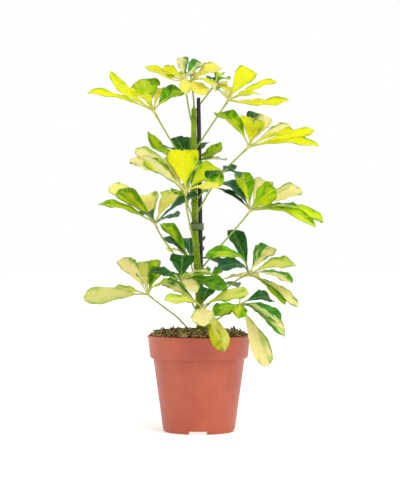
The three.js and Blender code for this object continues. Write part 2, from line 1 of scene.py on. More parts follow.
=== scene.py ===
# %% [markdown]
# # A potted umbrella plant
# A young umbrella plant grows in a thin plastic nursery pot. One green stem is tied to a
# black stake, and each leaf is a long stalk with a fan of blunt, wavy leaflets, which are
# yellow, cream and green. The solids of the plant come first, as a fixed frame. Every
# piece below is made round them, in metres, where the frame says.

# %% The fixed frame
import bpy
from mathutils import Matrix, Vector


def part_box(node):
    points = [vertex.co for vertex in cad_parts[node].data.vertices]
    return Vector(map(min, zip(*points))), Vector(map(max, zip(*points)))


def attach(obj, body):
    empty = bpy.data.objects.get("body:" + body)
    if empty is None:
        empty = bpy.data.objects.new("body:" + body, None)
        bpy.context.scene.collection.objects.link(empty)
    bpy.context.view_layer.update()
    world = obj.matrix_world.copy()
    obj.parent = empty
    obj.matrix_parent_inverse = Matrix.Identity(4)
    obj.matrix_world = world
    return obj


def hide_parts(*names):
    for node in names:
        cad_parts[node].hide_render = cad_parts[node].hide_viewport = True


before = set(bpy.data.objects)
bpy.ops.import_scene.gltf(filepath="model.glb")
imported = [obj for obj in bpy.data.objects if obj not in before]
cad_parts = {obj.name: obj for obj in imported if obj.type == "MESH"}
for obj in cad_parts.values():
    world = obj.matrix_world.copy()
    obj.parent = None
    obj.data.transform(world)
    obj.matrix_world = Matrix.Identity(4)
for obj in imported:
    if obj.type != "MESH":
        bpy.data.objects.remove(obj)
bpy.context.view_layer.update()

import math
import random

import bmesh
import bpy
from mathutils import Matrix, Vector, noise

MM = 0.001
pot_low, pot_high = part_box("pot")
pot_axis = Vector(((pot_low.x + pot_high.x) / 2, (pot_low.y + pot_high.y) / 2, 0))
print("the plant stands on", [round(value / MM, 1) for value in pot_axis], "mm")

# %% [markdown]
# ## Colours, patterns and nodes
# A finish starts from the colour that the eye sees, written as an sRGB hex value, which
# Blender needs as linear light. A pattern starts from the real size of what it shows, and
# its scale is how many of those lie in a metre. Node trees are long to write out, so one
# small function adds a node, sets it and links it. A link is given as a node, for its
# first output, or as a node with the name of an output.

# %% Colours, patterns and nodes


def linear(hex_code):
    """An sRGB hex colour as linear red, green, blue and alpha."""
    parts = [int(hex_code[i:i + 2], 16) / 255 for i in (1, 3, 5)]
    return [p / 12.92 if p <= 0.04045 else ((p + 0.055) / 1.055) ** 2.4 for p in parts] + [1.0]


def cells(*sizes):
    """The scale of a pattern with cells of a size in mm, or of one size for each axis."""
    scales = [1 / (size * MM) for size in sizes]
    return scales if len(scales) > 1 else scales[0]


def add(tree, kind, settings, inputs):
    """A new node of a kind, with its settings, and its inputs set or linked."""
    node = tree.nodes.new("ShaderNode" + kind)
    for name, value in settings.items():
        setattr(node, name, value)
    for name, value in inputs.items():
        if isinstance(value, bpy.types.Node):
            value = (value, 0)
        if isinstance(value, tuple) and isinstance(value[0], bpy.types.Node):
            tree.links.new(value[0].outputs[value[1]], node.inputs[name])
        else:
            node.inputs[name].default_value = value
    return node


def finish(name, make):
    """A new material, whose shader is what make adds to its node tree."""
    material = bpy.data.materials.new(name)
    material.use_nodes = True
    material.node_tree.nodes.clear()
    shader = make(material.node_tree)
    add(material.node_tree, "OutputMaterial", {}, {"Surface": shader})
    print("finish", name, "has", len(material.node_tree.nodes), "nodes")
    return material


# %% [markdown]
# ## Pieces
# Every piece is made in a bmesh and becomes one object at the origin, with its place in
# its mesh. It rides on the plant's one body and stands for the plain solid that it
# replaces.

# %% Pieces


def piece(name, bm, materials, replaced):
    """One object from a bmesh, which rides on the body and replaces a plain solid."""
    mesh = bpy.data.meshes.new(name)
    bm.to_mesh(mesh)
    bm.free()
    for material in materials:
        mesh.materials.append(material)
    mesh.polygons.foreach_set("use_smooth", [True] * len(mesh.polygons))
    made = bpy.data.objects.new(name, mesh)
    bpy.context.scene.collection.objects.link(made)
    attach(made, "root")
    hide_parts(replaced)
    print(name, "has", len(mesh.polygons), "faces")
    return made


# %% [markdown]
# ### Round bodies
# A pot, its soil and a tie are round, so each starts as half of its section, which is spun
# about the pot's axis. Real corners are never sharp, so an outline is written with a radius
# for each corner, and a short curve takes the corner's place.

# %% Round bodies


def spun(outline, steps):
    """A round body from an outline of (radius, height) in mm, from the axis to the axis."""
    bm = bmesh.new()
    points = [bm.verts.new((r * MM, 0, z * MM)) for r, z in outline]
    edges = [bm.edges.new(pair) for pair in zip(points, points[1:])]
    bmesh.ops.spin(bm, geom=points + edges, cent=(0, 0, 0), axis=(0, 0, 1), angle=2 * math.pi,
                   steps=steps, use_merge=True, use_duplicate=False)
    bmesh.ops.remove_doubles(bm, verts=bm.verts, dist=1e-6)
    bmesh.ops.recalc_face_normals(bm, faces=bm.faces)
    bmesh.ops.translate(bm, verts=bm.verts, vec=pot_axis)
    return bm


def rounded(corners, steps=4):
    """An outline with each corner, given as (radius, height, corner radius), made round."""
    made = []
    for i, (r, z, size) in enumerate(corners):
        here = Vector((r, z))
        if size == 0 or i in (0, len(corners) - 1):
            made.append(here)
            continue
        back = Vector(corners[i - 1][:2]) - here
        ahead = Vector(corners[i + 1][:2]) - here
        size = min(size, back.length / 2, ahead.length / 2)
        start = here + back.normalized() * size
        end = here + ahead.normalized() * size
        for k in range(steps + 1):
            t = k / steps
            made.append(start.lerp(here, t).lerp(here.lerp(end, t), t))
    return [(point.x, point.y) for point in made]


# %% [markdown]
# ### Bars along a line
# A stem, a stake and a leaf's stalk are bars of changing thickness along a bent line. A
# circle is extruded from point to point, and each new ring is turned with the line and
# scaled to its radius. Turning each ring from the last one keeps the bar from twisting.

# %% Bars along a line


def smooth_line(points, count):
    """Points along a smooth line through the given ones, with their places in mm."""
    known = [Vector(p) for p in points]
    known = [2 * known[0] - known[1]] + known + [2 * known[-1] - known[-2]]
    spans = len(points) - 1
    made = []
    for i in range(count + 1):
        at = min(i / count * spans, spans - 1e-9)
        k = int(at)
        t = at - k
        a, b, c, d = known[k:k + 4]
        made.append(0.5 * (2 * b + (c - a) * t + (2 * a - 5 * b + 4 * c - d) * t * t
                           + (3 * b - a - 3 * c + d) * t ** 3))
    return made


def ring_edges(ring):
    """The edges that join the points of a ring to each other."""
    near = {edge for vert in ring for edge in vert.link_edges}
    return [edge for edge in near if edge.verts[0] in ring and edge.verts[1] in ring]


def swept(bm, line, radii, sides, material=0):
    """A round bar with closed ends along a line of points, all in mm."""
    before = set(bm.faces)
    places = []
    turn = None
    for i, point in enumerate(line):
        along = line[min(i + 1, len(line) - 1)] - line[max(i - 1, 0)]
        if turn is None:
            turn = along.to_track_quat("Z", "Y")
        else:
            turn = (turn @ Vector((0, 0, 1))).rotation_difference(along) @ turn
        size = Matrix.Diagonal((radii[i] * MM,) * 3 + (1,))
        spot = Matrix.Translation(point * MM + pot_axis)
        places.append(spot @ turn.to_matrix().to_4x4() @ size)
    ring = bmesh.ops.create_circle(bm, cap_ends=True, segments=sides, radius=1,
                                   matrix=places[0])["verts"]
    for last, here in zip(places, places[1:]):
        grown = bmesh.ops.extrude_edge_only(bm, edges=ring_edges(ring))["geom"]
        ring = [item for item in grown if isinstance(item, bmesh.types.BMVert)]
        bmesh.ops.transform(bm, matrix=here @ last.inverted(), verts=ring)
    bmesh.ops.contextual_create(bm, geom=ring_edges(ring))
    faces = [face for face in bm.faces if face not in before]
    bmesh.ops.recalc_face_normals(bm, faces=faces)
    for face in faces:
        face.material_index = material


# %% [markdown]
# ## Pot
# The pot is a 12 cm nursery pot, moulded in one shot from polypropylene with terracotta
# pigment. It has a thin lip, an upright band for stacking, a body that narrows to the
# foot, and a foot ring with notches that let water out. A round moulding is its outline
# spun about the axis. Corners are rounded as the mould's are, because a sharp edge would
# catch no light. The notches and drain holes are cut with one Boolean.

# %% The pot's outline
POT_STEPS = 144
POT_WALL = 1.3
FOOT_RADIUS, FOOT_RING_WIDTH, FOOT_RECESS = 41.4, 5, 3.8
FOOT_ROUNDING, FOOT_CURVE_TOP, FOOT_DRAFT = 3.6, 6.5, 0.4
BODY_TOP_RADIUS, BODY_TOP, BODY_FLARE_HEIGHT = 52.6, 83.5, 2.4
BAND_RADIUS, BAND_TOP_RADIUS, BAND_BOTTOM = 56.6, 58.6, 87
LIP_HEIGHT, LIP_CORNER = 2.2, 0.8
STEP = 0.8
FLOOR_CORNER = 2
pot_height = pot_high.z / MM
lip_radius = (pot_high.x - pot_low.x) / 2 / MM

outside = [
    (0, FOOT_RECESS, 0),
    (FOOT_RADIUS - FOOT_RING_WIDTH, FOOT_RECESS, 0.5),
    (FOOT_RADIUS - FOOT_RING_WIDTH + FOOT_DRAFT, 0, 0.5),
    (FOOT_RADIUS - 0.2, 0, FOOT_ROUNDING),
    (FOOT_RADIUS + 0.5, FOOT_CURVE_TOP, 0),
    (BODY_TOP_RADIUS - 0.3, BODY_TOP - BODY_FLARE_HEIGHT, 0.8),
    (BODY_TOP_RADIUS, BODY_TOP, 0.6),
    (BAND_RADIUS - STEP, BODY_TOP + STEP, 1),
    (BAND_RADIUS, BAND_BOTTOM, 0.8),
    (BAND_TOP_RADIUS, pot_height - LIP_HEIGHT - STEP, 0.5),
    (lip_radius - 0.15, pot_height - LIP_HEIGHT, 0.5),
    (lip_radius, pot_height - 1.2, 0.5),
    (lip_radius - 0.3, pot_height, LIP_CORNER),
]
inside = [
    (BAND_TOP_RADIUS - POT_WALL, pot_height, LIP_CORNER),
    (BAND_TOP_RADIUS - POT_WALL, pot_height - LIP_HEIGHT, 0.6),
    (BAND_RADIUS - POT_WALL, BAND_BOTTOM + 1, 1),
    (BODY_TOP_RADIUS - POT_WALL, BODY_TOP - 1, 1),
    (FOOT_RADIUS - POT_WALL, FOOT_RECESS + POT_WALL, FLOOR_CORNER),
    (0, FOOT_RECESS + POT_WALL, 0),
]
pot_outline = rounded(outside + inside)
print("the pot's outline has", len(pot_outline), "points")

# %% [markdown]
# Polypropylene is a little translucent, takes a satin from the mould and scuffs where
# pots rub when they are stacked. The eye reads that as one warm colour with faint clouds
# of pigment, a soft sheen that is not quite even, and duller rubbed spots.

# %% Terracotta-coloured polypropylene


def moulded_polypropylene(tree):
    """Warm pigment in faint clouds and flow lines, under a satin that is rubbed in spots."""
    place = add(tree, "TexCoord", {}, {})
    # clouds 38 mm across, and flow lines 3.3 mm wide that run up the wall
    clouds = add(tree, "TexNoise", {}, {"Vector": (place, "Object"), "Scale": cells(38.5),
                                        "Detail": 3})
    flow = add(tree, "Mapping", {}, {"Vector": (place, "Object"),
                                     "Scale": cells(3.33, 3.33, 111)})
    streaks = add(tree, "TexNoise", {}, {"Vector": flow, "Scale": 1, "Detail": 2})
    mixed = add(tree, "Math", {"operation": "MULTIPLY_ADD"}, {0: streaks, 1: 0.3, 2: clouds})
    pigment = add(tree, "ValToRGB", {}, {"Fac": mixed})
    pigment.color_ramp.elements[0].position = 0.42
    pigment.color_ramp.elements[0].color = linear("#A2462F")
    pigment.color_ramp.elements[1].position = 0.86
    pigment.color_ramp.elements[1].color = linear("#B2563A")
    # rubbed spots 5.6 mm across, which dull the sheen
    scuffs = add(tree, "TexNoise", {}, {"Vector": (place, "Object"), "Scale": cells(5.56),
                                        "Detail": 5, "Roughness": 0.7})
    rough = add(tree, "MapRange", {}, {"Value": scuffs, "From Min": 0.35, "From Max": 0.75,
                                       "To Min": 0.36, "To Max": 0.56})
    # the mould's satin has a grain of 0.1 mm, and is drawn at 1.1 mm so that it shows
    grain = add(tree, "TexNoise", {}, {"Vector": (place, "Object"), "Scale": cells(1.11),
                                       "Detail": 2})
    bump = add(tree, "Bump", {}, {"Strength": 0.12, "Distance": 0.4 * MM, "Height": grain})
    return add(tree, "BsdfPrincipled", {}, {"Base Color": pigment, "Roughness": rough,
                                            "IOR": 1.49, "Subsurface Weight": 0.05,
                                            "Subsurface Radius": (0.006, 0.002, 0.001),
                                            "Normal": bump})


polypropylene = finish("terracotta_polypropylene_moulded", moulded_polypropylene)

# %% The cutter for the foot notches and drain holes
FOOT_NOTCHES, FOOT_NOTCH_WIDTH, FOOT_NOTCH_TURN = 4, 20, math.radians(-1.8)
FOOT_NOTCH_HEIGHT = FOOT_RECESS - 0.3
DRAIN_HOLES, DRAIN_HOLE_RADIUS, DRAIN_HOLE_CIRCLE = 6, 4, 26
DRAIN_HOLE_SIDES, DRAIN_HOLE_DEPTH = 32, 20


def pot_cutter():
    """Boxes for the foot notches and bars for the drain holes, in one mesh."""
    bm = bmesh.new()
    size = Matrix.Diagonal((FOOT_NOTCH_WIDTH * MM, 3 * FOOT_RING_WIDTH * MM,
                            2 * FOOT_NOTCH_HEIGHT * MM, 1))
    reach = Matrix.Translation((0, (-FOOT_RADIUS + 1.2 * FOOT_RING_WIDTH) * MM, 0))
    for i in range(FOOT_NOTCHES):
        turn = Matrix.Rotation(FOOT_NOTCH_TURN + i * 2 * math.pi / FOOT_NOTCHES, 4, "Z")
        bmesh.ops.create_cube(bm, size=1, matrix=turn @ reach @ size)
    reach = Matrix.Translation((DRAIN_HOLE_CIRCLE * MM, 0, FOOT_RECESS * MM))
    for i in range(DRAIN_HOLES):
        turn = Matrix.Rotation((i + 0.5) * 2 * math.pi / DRAIN_HOLES, 4, "Z")
        bmesh.ops.create_cone(bm, cap_ends=True, segments=DRAIN_HOLE_SIDES,
                              radius1=DRAIN_HOLE_RADIUS * MM, radius2=DRAIN_HOLE_RADIUS * MM,
                              depth=DRAIN_HOLE_DEPTH * MM, matrix=turn @ reach)
    bmesh.ops.translate(bm, verts=bm.verts, vec=pot_axis)
    return bm


# %% The pot, spun and cut
SHARP_ANGLE = math.radians(35)


def cut(made, cutter_bm):
    """Cut a piece with a mesh, and keep the result in the piece's own mesh."""
    mesh = bpy.data.meshes.new("cutter")
    cutter_bm.to_mesh(mesh)
    cutter_bm.free()
    cutter = bpy.data.objects.new("cutter", mesh)
    bpy.context.scene.collection.objects.link(cutter)
    boolean = made.modifiers.new("cut", "BOOLEAN")
    boolean.operation = "DIFFERENCE"
    boolean.solver = "EXACT"
    boolean.object = cutter
    bpy.context.view_layer.update()
    evaluated = made.evaluated_get(bpy.context.evaluated_depsgraph_get())
    result = bpy.data.meshes.new_from_object(evaluated)
    made.modifiers.clear()
    old, made.data = made.data, result
    bpy.data.meshes.remove(old)
    bpy.data.objects.remove(cutter)
    bpy.data.meshes.remove(mesh)


pot = piece("pot_moulding", spun(pot_outline, POT_STEPS), [polypropylene], "pot")
cut(pot, pot_cutter())
pot.data.polygons.foreach_set("use_smooth", [True] * len(pot.data.polygons))
pot.data.set_sharp_from_angle(angle=SHARP_ANGLE)
print("the pot with its notches and holes has", len(pot.data.polygons), "faces")

# %% [markdown]
# ## Soil
# The pot is filled with a coarse mix of peat and composted bark. The top is a low, uneven
# heap, and what the eye sees of it is bark: hundreds of flakes that lie on each other and
# stand up here and there over the lip. The peat is an outline spun about the axis with its
# top moved by noise. Each flake is a ball of a few faces, flattened, pushed out of shape
# and laid on the peat.

# %% The top of the peat
SOIL_EDGE_TOP, SOIL_HEAP, SOIL_HEAP_FLATNESS = 108.5, 7, 8
LUMPS = ((1.3, 13, 4), (0.8, 3.2, 9), (0.5, 1.4, 2))
soil_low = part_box("soil")[0]
soil_radius = BAND_TOP_RADIUS - POT_WALL - 0.3


def soil_top(x, y):
    """The height of the peat at a place about the pot's axis, in mm."""
    out = min(1, math.hypot(x, y) / soil_radius)
    lumps = [height * noise.noise(Vector((x / pitch, y / pitch, layer)))
             for height, pitch, layer in LUMPS]
    return SOIL_EDGE_TOP + SOIL_HEAP * (1 - out ** SOIL_HEAP_FLATNESS) + sum(lumps)


print("the heap is", round(soil_top(0, 0), 1), "mm high in the middle")

# %% [markdown]
# Bark is dry, dull and fibrous, and the peat between its flakes is almost black. The eye
# reads many browns side by side, from tan to dark, and no shine at all. Each flake carries
# a tint of its own, and the fibres shift it a little within the flake.

# %% Composted bark and peat
BARK_SHADES = ((0.3, "#4E3C22"), (0.55, "#7A6238"), (0.85, "#A8935F"))


def bark_and_peat(tree):
    """A brown for each flake, broken by fibres, with a dull and crumbly surface."""
    place = add(tree, "TexCoord", {}, {})
    tint = add(tree, "Attribute", {"attribute_name": "tint"}, {})
    # bark fibres are 0.2 mm thick, and are drawn at 1.1 mm so that they show
    fibres = add(tree, "TexNoise", {}, {"Vector": (place, "Object"), "Scale": cells(1.11),
                                        "Detail": 4, "Roughness": 0.7})
    mixed = add(tree, "Math", {"operation": "MULTIPLY_ADD"}, {0: fibres, 1: 0.35,
                                                             2: (tint, "Fac")})
    ramp = add(tree, "ValToRGB", {}, {"Fac": mixed})
    for spot, shade in BARK_SHADES:
        ramp.color_ramp.elements.new(spot).color = linear(shade)
    ramp.color_ramp.elements[0].color = linear("#2E2313")
    ramp.color_ramp.elements[-1].color = linear("#C9B786")
    # crumbs 2.4 mm across
    crumbs = add(tree, "TexVoronoi", {}, {"Vector": (place, "Object"), "Scale": cells(2.38)})
    height = add(tree, "Math", {"operation": "MULTIPLY_ADD"}, {0: (crumbs, "Distance"),
                                                              1: 0.4, 2: fibres})
    bump = add(tree, "Bump", {}, {"Strength": 0.7, "Distance": 0.8 * MM, "Height": height})
    return add(tree, "BsdfPrincipled", {}, {"Base Color": ramp, "Roughness": 0.9, "IOR": 1.4,
                                            "Specular IOR Level": 0.25, "Normal": bump})


bark = finish("composted_bark_and_peat", bark_and_peat)

# %% The body of peat
SOIL_STEPS, SOIL_RINGS = 120, 30
SOIL_ROOM = 0.4
PEAT_TINT = 0.12

soil_outline = [(0, soil_low.z / MM), (FOOT_RADIUS - POT_WALL - 0.8, soil_low.z / MM),
                (BODY_TOP_RADIUS - POT_WALL - 0.6, BODY_TOP - 3),
                (soil_radius - 1.6, BAND_BOTTOM + 4), (soil_radius - SOIL_ROOM, SOIL_EDGE_TOP)]
soil_outline += [(soil_radius * (1 - k / SOIL_RINGS) - SOIL_ROOM, SOIL_EDGE_TOP + 0.1)
                 for k in range(1, SOIL_RINGS)]
soil_outline += [(0, SOIL_EDGE_TOP + 0.1)]
bm = spun(soil_outline, SOIL_STEPS)
tint = bm.verts.layers.float.new("tint")
for vert in bm.verts:
    place = (vert.co - pot_axis) / MM
    vert[tint] = PEAT_TINT
    if place.z > SOIL_EDGE_TOP - 1:
        vert.co.z = soil_top(place.x, place.y) * MM
print("the peat has", len(bm.faces), "faces")

# %% [markdown]
# The flakes come in three sorts, each with its number, where they lie, how long they are,
# how far they tilt and how light they are. Large ones lie all over the heap, shorter ones
# crowd along the rim, and crumbs fill the gaps. A share of the radius is drawn, with a
# power of one half where the flakes cover an area evenly. Four dark ones stand upright.

# %% Flakes of bark
FLAKE_WIDTHS, FLAKE_HEIGHTS, FLAKE_DENTS = (0.13, 0.26), (0.6, 1.2), (0.7, 1.25)
FLAKE_ROLL, FLAKE_SINK = 0.4, 0.4
FLAKE_SORTS = (
    (620, (0.012, 0.93), 0.5, (3.5, 10.5), 0.4, (0.1, 0.8)),
    (300, (0.84, 0.975), 1, (3, 7), 0.5, (0.05, 0.75)),
    (700, (0.01, 0.95), 0.5, (1.2, 3.2), 0.5, (0.05, 0.75)),
)
STANDING = ((-29, 30, 10, 8), (41, 20, 8, -30), (48, 8, 8, 40), (-40, -12, 7, 60))
STANDING_TILT, STANDING_TINT, STANDING_SINK = 1.1, 0.1, 2.5
draw = random.Random(41)


def flake(x, y, length, tilt, turn, colour, sink=FLAKE_SINK):
    """One flake of bark, whose middle lies on the peat at a place in mm."""
    size = Vector((length / 2, length * draw.uniform(*FLAKE_WIDTHS),
                   draw.uniform(*FLAKE_HEIGHTS) * min(1, length / 4)))
    spot = Matrix.Translation(Vector((x, y, soil_top(x, y) + size.z * sink)) * MM + pot_axis)
    roll = Matrix.Rotation(draw.gauss(0, FLAKE_ROLL), 4, "X")
    place = spot @ Matrix.Rotation(turn, 4, "Z") @ Matrix.Rotation(tilt, 4, "Y") @ roll
    for vert in bmesh.ops.create_icosphere(bm, subdivisions=1, radius=1)["verts"]:
        dent = draw.uniform(*FLAKE_DENTS)
        vert.co = place @ Vector([part * far * dent * MM for part, far in zip(vert.co, size)])
        vert[tint] = colour


for count, shares, power, lengths, tilt, tints in FLAKE_SORTS:
    for i in range(count):
        radius = soil_radius * draw.uniform(*shares) ** power
        angle = draw.uniform(0, 2 * math.pi)
        flake(radius * math.cos(angle), radius * math.sin(angle), draw.uniform(*lengths),
              draw.gauss(0, tilt), draw.uniform(0, math.pi), draw.uniform(*tints))
for x, y, length, turn in STANDING:
    flake(x, y, length, STANDING_TILT, math.radians(turn), STANDING_TINT, STANDING_SINK)
bmesh.ops.recalc_face_normals(bm, faces=bm.faces)
soil = piece("soil_heap", bm, [bark], "soil")
soil.data.polygons.foreach_set("use_smooth", [False] * len(soil.data.polygons))

# %% [markdown]
# ## Stem and stake
# One green, half-woody stem rises from the soil. It is thicker at each node, where a leaf
# sits or sat, and there its bark has a fine brown ring. It is a bar swept along the
# stem's line. The stake behind it is an extruded black plastic rod, pointed at its foot
# and worn a little at its nearly flat top.

# %% Bark of the stem


def young_bark(tree):
    """Green bark in soft clouds, with a brown ring at each node and fine fibres along it."""
    place = add(tree, "TexCoord", {}, {})
    along = add(tree, "Attribute", {"attribute_name": "along"}, {})
    # clouds of lighter green 14 mm across
    clouds = add(tree, "TexNoise", {}, {"Vector": (place, "Object"), "Scale": cells(14.3),
                                        "Detail": 2})
    green = add(tree, "ValToRGB", {}, {"Fac": clouds})
    green.color_ramp.elements[0].position = 0.35
    green.color_ramp.elements[0].color = linear("#567206")
    green.color_ramp.elements[1].position = 0.7
    green.color_ramp.elements[1].color = linear("#86A20A")
    # the ring takes the last tenth of the way from node to node, about 2 mm
    phase = add(tree, "Math", {"operation": "FRACT"}, {0: (along, "Fac")})
    ring = add(tree, "MapRange", {"interpolation_type": "SMOOTHSTEP"},
               {"Value": phase, "From Min": 0.9, "From Max": 0.99, "To Max": 0.55})
    ringed = add(tree, "MixRGB", {}, {"Fac": ring, "Color1": green, "Color2": linear("#6B5A22")})
    # fibres are 0.3 mm thick, and are drawn at 1.4 mm so that they show, 17 mm long
    stretched = add(tree, "Mapping", {}, {"Vector": (place, "Object"),
                                          "Scale": cells(1.43, 1.43, 16.7)})
    fibres = add(tree, "TexNoise", {}, {"Vector": stretched, "Scale": 1, "Detail": 4})
    lined = add(tree, "MapRange", {}, {"Value": fibres, "From Min": 0.5, "From Max": 0.75,
                                       "To Max": 0.4})
    colour = add(tree, "MixRGB", {}, {"Fac": lined, "Color1": ringed,
                                      "Color2": linear("#566A0C")})
    bump = add(tree, "Bump", {}, {"Strength": 0.35, "Distance": 0.4 * MM, "Height": fibres})
    return add(tree, "BsdfPrincipled", {}, {"Base Color": colour, "Roughness": 0.5, "IOR": 1.45,
                                            "Specular IOR Level": 0.2,
                                            "Subsurface Weight": 0.08,
                                            "Subsurface Radius": (0.002, 0.003, 0.0005),
                                            "Normal": bump})


stem_bark = finish("young_green_stem_bark", young_bark)

# %% The stem
STEM_LINE = [(2.5, 0, 62), (2, 0, 108), (-1.7, 0, 185), (-4.6, 0, 236), (-5.8, 0, 317),
             (-5.9, 0, 372)]
STEM_POINTS, STEM_SIDES = 260, 28
STEM_BASE_RADIUS, STEM_TIP_RADIUS = 4.8, 2.9
STEM_TIP_SHARES = (0.9, 0.7, 0.35)
STEM_UNEVENNESS, STEM_DENT_LENGTH = 0.16, 14
NODE_SPACING = 24
NODE_SWELLINGS = ((0.55, 0.94, 0.09), (0.2, 0.85, 0.2))

stem_line = smooth_line(STEM_LINE, STEM_POINTS)
radii = []
for i, point in enumerate(stem_line):
    share = i / (len(stem_line) - 1)
    phase = (point.z / NODE_SPACING) % 1
    swell = sum(height * math.exp(-((phase - middle) / length) ** 2)
                for height, middle, length in NODE_SWELLINGS)
    radii.append(STEM_BASE_RADIUS + (STEM_TIP_RADIUS - STEM_BASE_RADIUS) * share + swell)
radii[-3:] = [radii[-3] * share for share in STEM_TIP_SHARES]
bm = bmesh.new()
along = bm.verts.layers.float.new("along")
swept(bm, stem_line, radii, STEM_SIDES)
for vert in bm.verts:
    place = (vert.co - pot_axis) / MM
    vert[along] = place.z / NODE_SPACING
    out = Vector((place.x, place.y, 0)).normalized()
    dent = noise.noise(Vector((2 * out.x, 2 * out.y, place.z / STEM_DENT_LENGTH)))
    vert.co += out * STEM_UNEVENNESS * MM * dent
piece("stem_green", bm, [stem_bark], "stem")

# %% [markdown]
# The stake's black plastic was pushed through a die, which leaves fine lines along it.
# Dust from the soil greys it here and there and dulls its shine, so that the eye sees a
# black that is not quite even.

# %% The stake
STAKE_FOOT, STAKE_TOP, STAKE_RADIUS = Vector((4.8, 10.4, 14)), Vector((-0.6, 4.6, 384)), 2.5
STAKE_POINT_SHARES, STAKE_POINT_RADII = (0, 0.03, 0.06), (0.5, 1.5, 2.3)
STAKE_WORN_RADII = (2.45, 2.4, 2.3, 2.15, 1.9)
STAKE_POINT_END, STAKE_SPANS, STAKE_SIDES = 0.1, 60, 24
STAKE_TOP_SLOPE = 0.2


def extruded_plastic(tree):
    """Black plastic with die lines along it, greyed and dulled by dust."""
    place = add(tree, "TexCoord", {}, {})
    # dust lies in spots of 4.5 mm
    dust = add(tree, "TexNoise", {}, {"Vector": (place, "Object"), "Scale": cells(4.55),
                                      "Detail": 5})
    dusty = add(tree, "MapRange", {}, {"Value": dust, "From Min": 0.5, "From Max": 0.8,
                                       "To Max": 0.35})
    colour = add(tree, "MixRGB", {}, {"Fac": dusty, "Color1": linear("#07090A"),
                                      "Color2": linear("#1B1F1E")})
    rough = add(tree, "MapRange", {}, {"Value": dust, "From Min": 0.3, "From Max": 0.7,
                                       "To Min": 0.3, "To Max": 0.5})
    # die lines are 0.2 mm wide, and are drawn at 0.7 mm so that they show, 83 mm long
    lines = add(tree, "Mapping", {}, {"Vector": (place, "Object"),
                                      "Scale": cells(0.667, 0.667, 83.3)})
    drawn = add(tree, "TexNoise", {}, {"Vector": lines, "Scale": 1, "Detail": 3})
    bump = add(tree, "Bump", {}, {"Strength": 0.2, "Distance": 0.3 * MM, "Height": drawn})
    return add(tree, "BsdfPrincipled", {}, {"Base Color": colour, "Roughness": rough,
                                            "IOR": 1.5, "Normal": bump})


black_plastic = finish("black_plastic_extruded", extruded_plastic)
shares = [STAKE_POINT_END + (1 - STAKE_POINT_END) * k / STAKE_SPANS
          for k in range(STAKE_SPANS + 1)]
radii = [STAKE_RADIUS] * (len(shares) - len(STAKE_WORN_RADII))
bm = bmesh.new()
swept(bm, [STAKE_FOOT.lerp(STAKE_TOP, share) for share in [*STAKE_POINT_SHARES, *shares]],
      [*STAKE_POINT_RADII, *radii, *STAKE_WORN_RADII], STAKE_SIDES)
for vert in bm.verts:
    place = (vert.co - pot_axis) / MM
    if place.z > STAKE_TOP.z - 0.5:
        fall = STAKE_TOP.x + STAKE_WORN_RADII[-1] - place.x
        vert.co.z -= fall * STAKE_TOP_SLOPE * MM
piece("stake_black", bm, [black_plastic], "stake")

# %% [markdown]
# ## Tie
# A soft, thin plastic tie holds the stem to the stake half way up. It was pulled round both
# and its two ends stand off on the left. The band is made as a round ring first, and then
# each of its points moves out to where the pair of bars holds the band off in its
# direction, which is how a tight loop lies. The plastic is clear enough to let the green
# through. It is dull in the middle and darker along its two edges in painted shade, for
# the way the rounded edges of a clear band look dark.

# %% Finish of the tie
TIE_MIDDLE, TIE_HEIGHT, TIE_WALL, TIE_CLEARANCE = 235, 8, 1.1, 0.5
TIE_RIB_SPACING = 1.96
WAVE_NODE_BAND = 2 * math.pi / 20


def soft_tie(tree):
    """Half clear green plastic, ribbed along the band, with painted shade along its two edges."""
    place = add(tree, "TexCoord", {}, {})
    parts = add(tree, "SeparateXYZ", {}, {"Vector": (place, "Object")})
    up = add(tree, "Math", {"operation": "SUBTRACT"}, {0: (parts, "Z"), 1: TIE_MIDDLE * MM})
    from_middle = add(tree, "Math", {"operation": "ABSOLUTE"}, {0: up})
    # painted shade: the band darkens toward its top and bottom edges, as a clear band's rounded edges
    # look
    edges = add(tree, "MapRange", {}, {"Value": from_middle, "From Min": 2.6 * MM,
                                       "From Max": 3.6 * MM})
    # haze in clouds of 3.8 mm
    haze = add(tree, "TexNoise", {}, {"Vector": (place, "Object"), "Scale": cells(3.85),
                                      "Detail": 3})
    green = add(tree, "ValToRGB", {}, {"Fac": haze})
    green.color_ramp.elements[0].color = linear("#4E6A20")
    green.color_ramp.elements[1].color = linear("#6F8A34")
    colour = add(tree, "MixRGB", {}, {"Fac": edges, "Color1": green,
                                      "Color2": linear("#182418")})
    # ribs 2 mm apart, where a wave node at scale 1 draws a band each 0.31 m
    ribs = add(tree, "TexWave", {"bands_direction": "Z"},
               {"Vector": (place, "Object"), "Scale": WAVE_NODE_BAND * cells(TIE_RIB_SPACING),
                "Distortion": 1.5})
    bump = add(tree, "Bump", {}, {"Strength": 0.3, "Distance": 0.3 * MM, "Height": ribs})
    return add(tree, "BsdfPrincipled", {}, {"Base Color": colour, "Roughness": 0.3, "IOR": 1.5,
                                            "Transmission Weight": 0.35, "Normal": bump})


tie_plastic = finish("dark_green_soft_plastic_tie", soft_tie)

# %% The band of the tie
TIE_STEPS, TIE_CORNER = 96, 0.4
TIE_RING_RADIUS = 10
TIE_WAVE_HEIGHT, TIE_WAVE_PITCH = 0.12, 3.2
STEM_AT_TIE = Vector((-4.54, 0, TIE_MIDDLE))
STEM_ROOM, STAKE_ROOM = 4.1 + TIE_CLEARANCE, STAKE_RADIUS + TIE_CLEARANCE

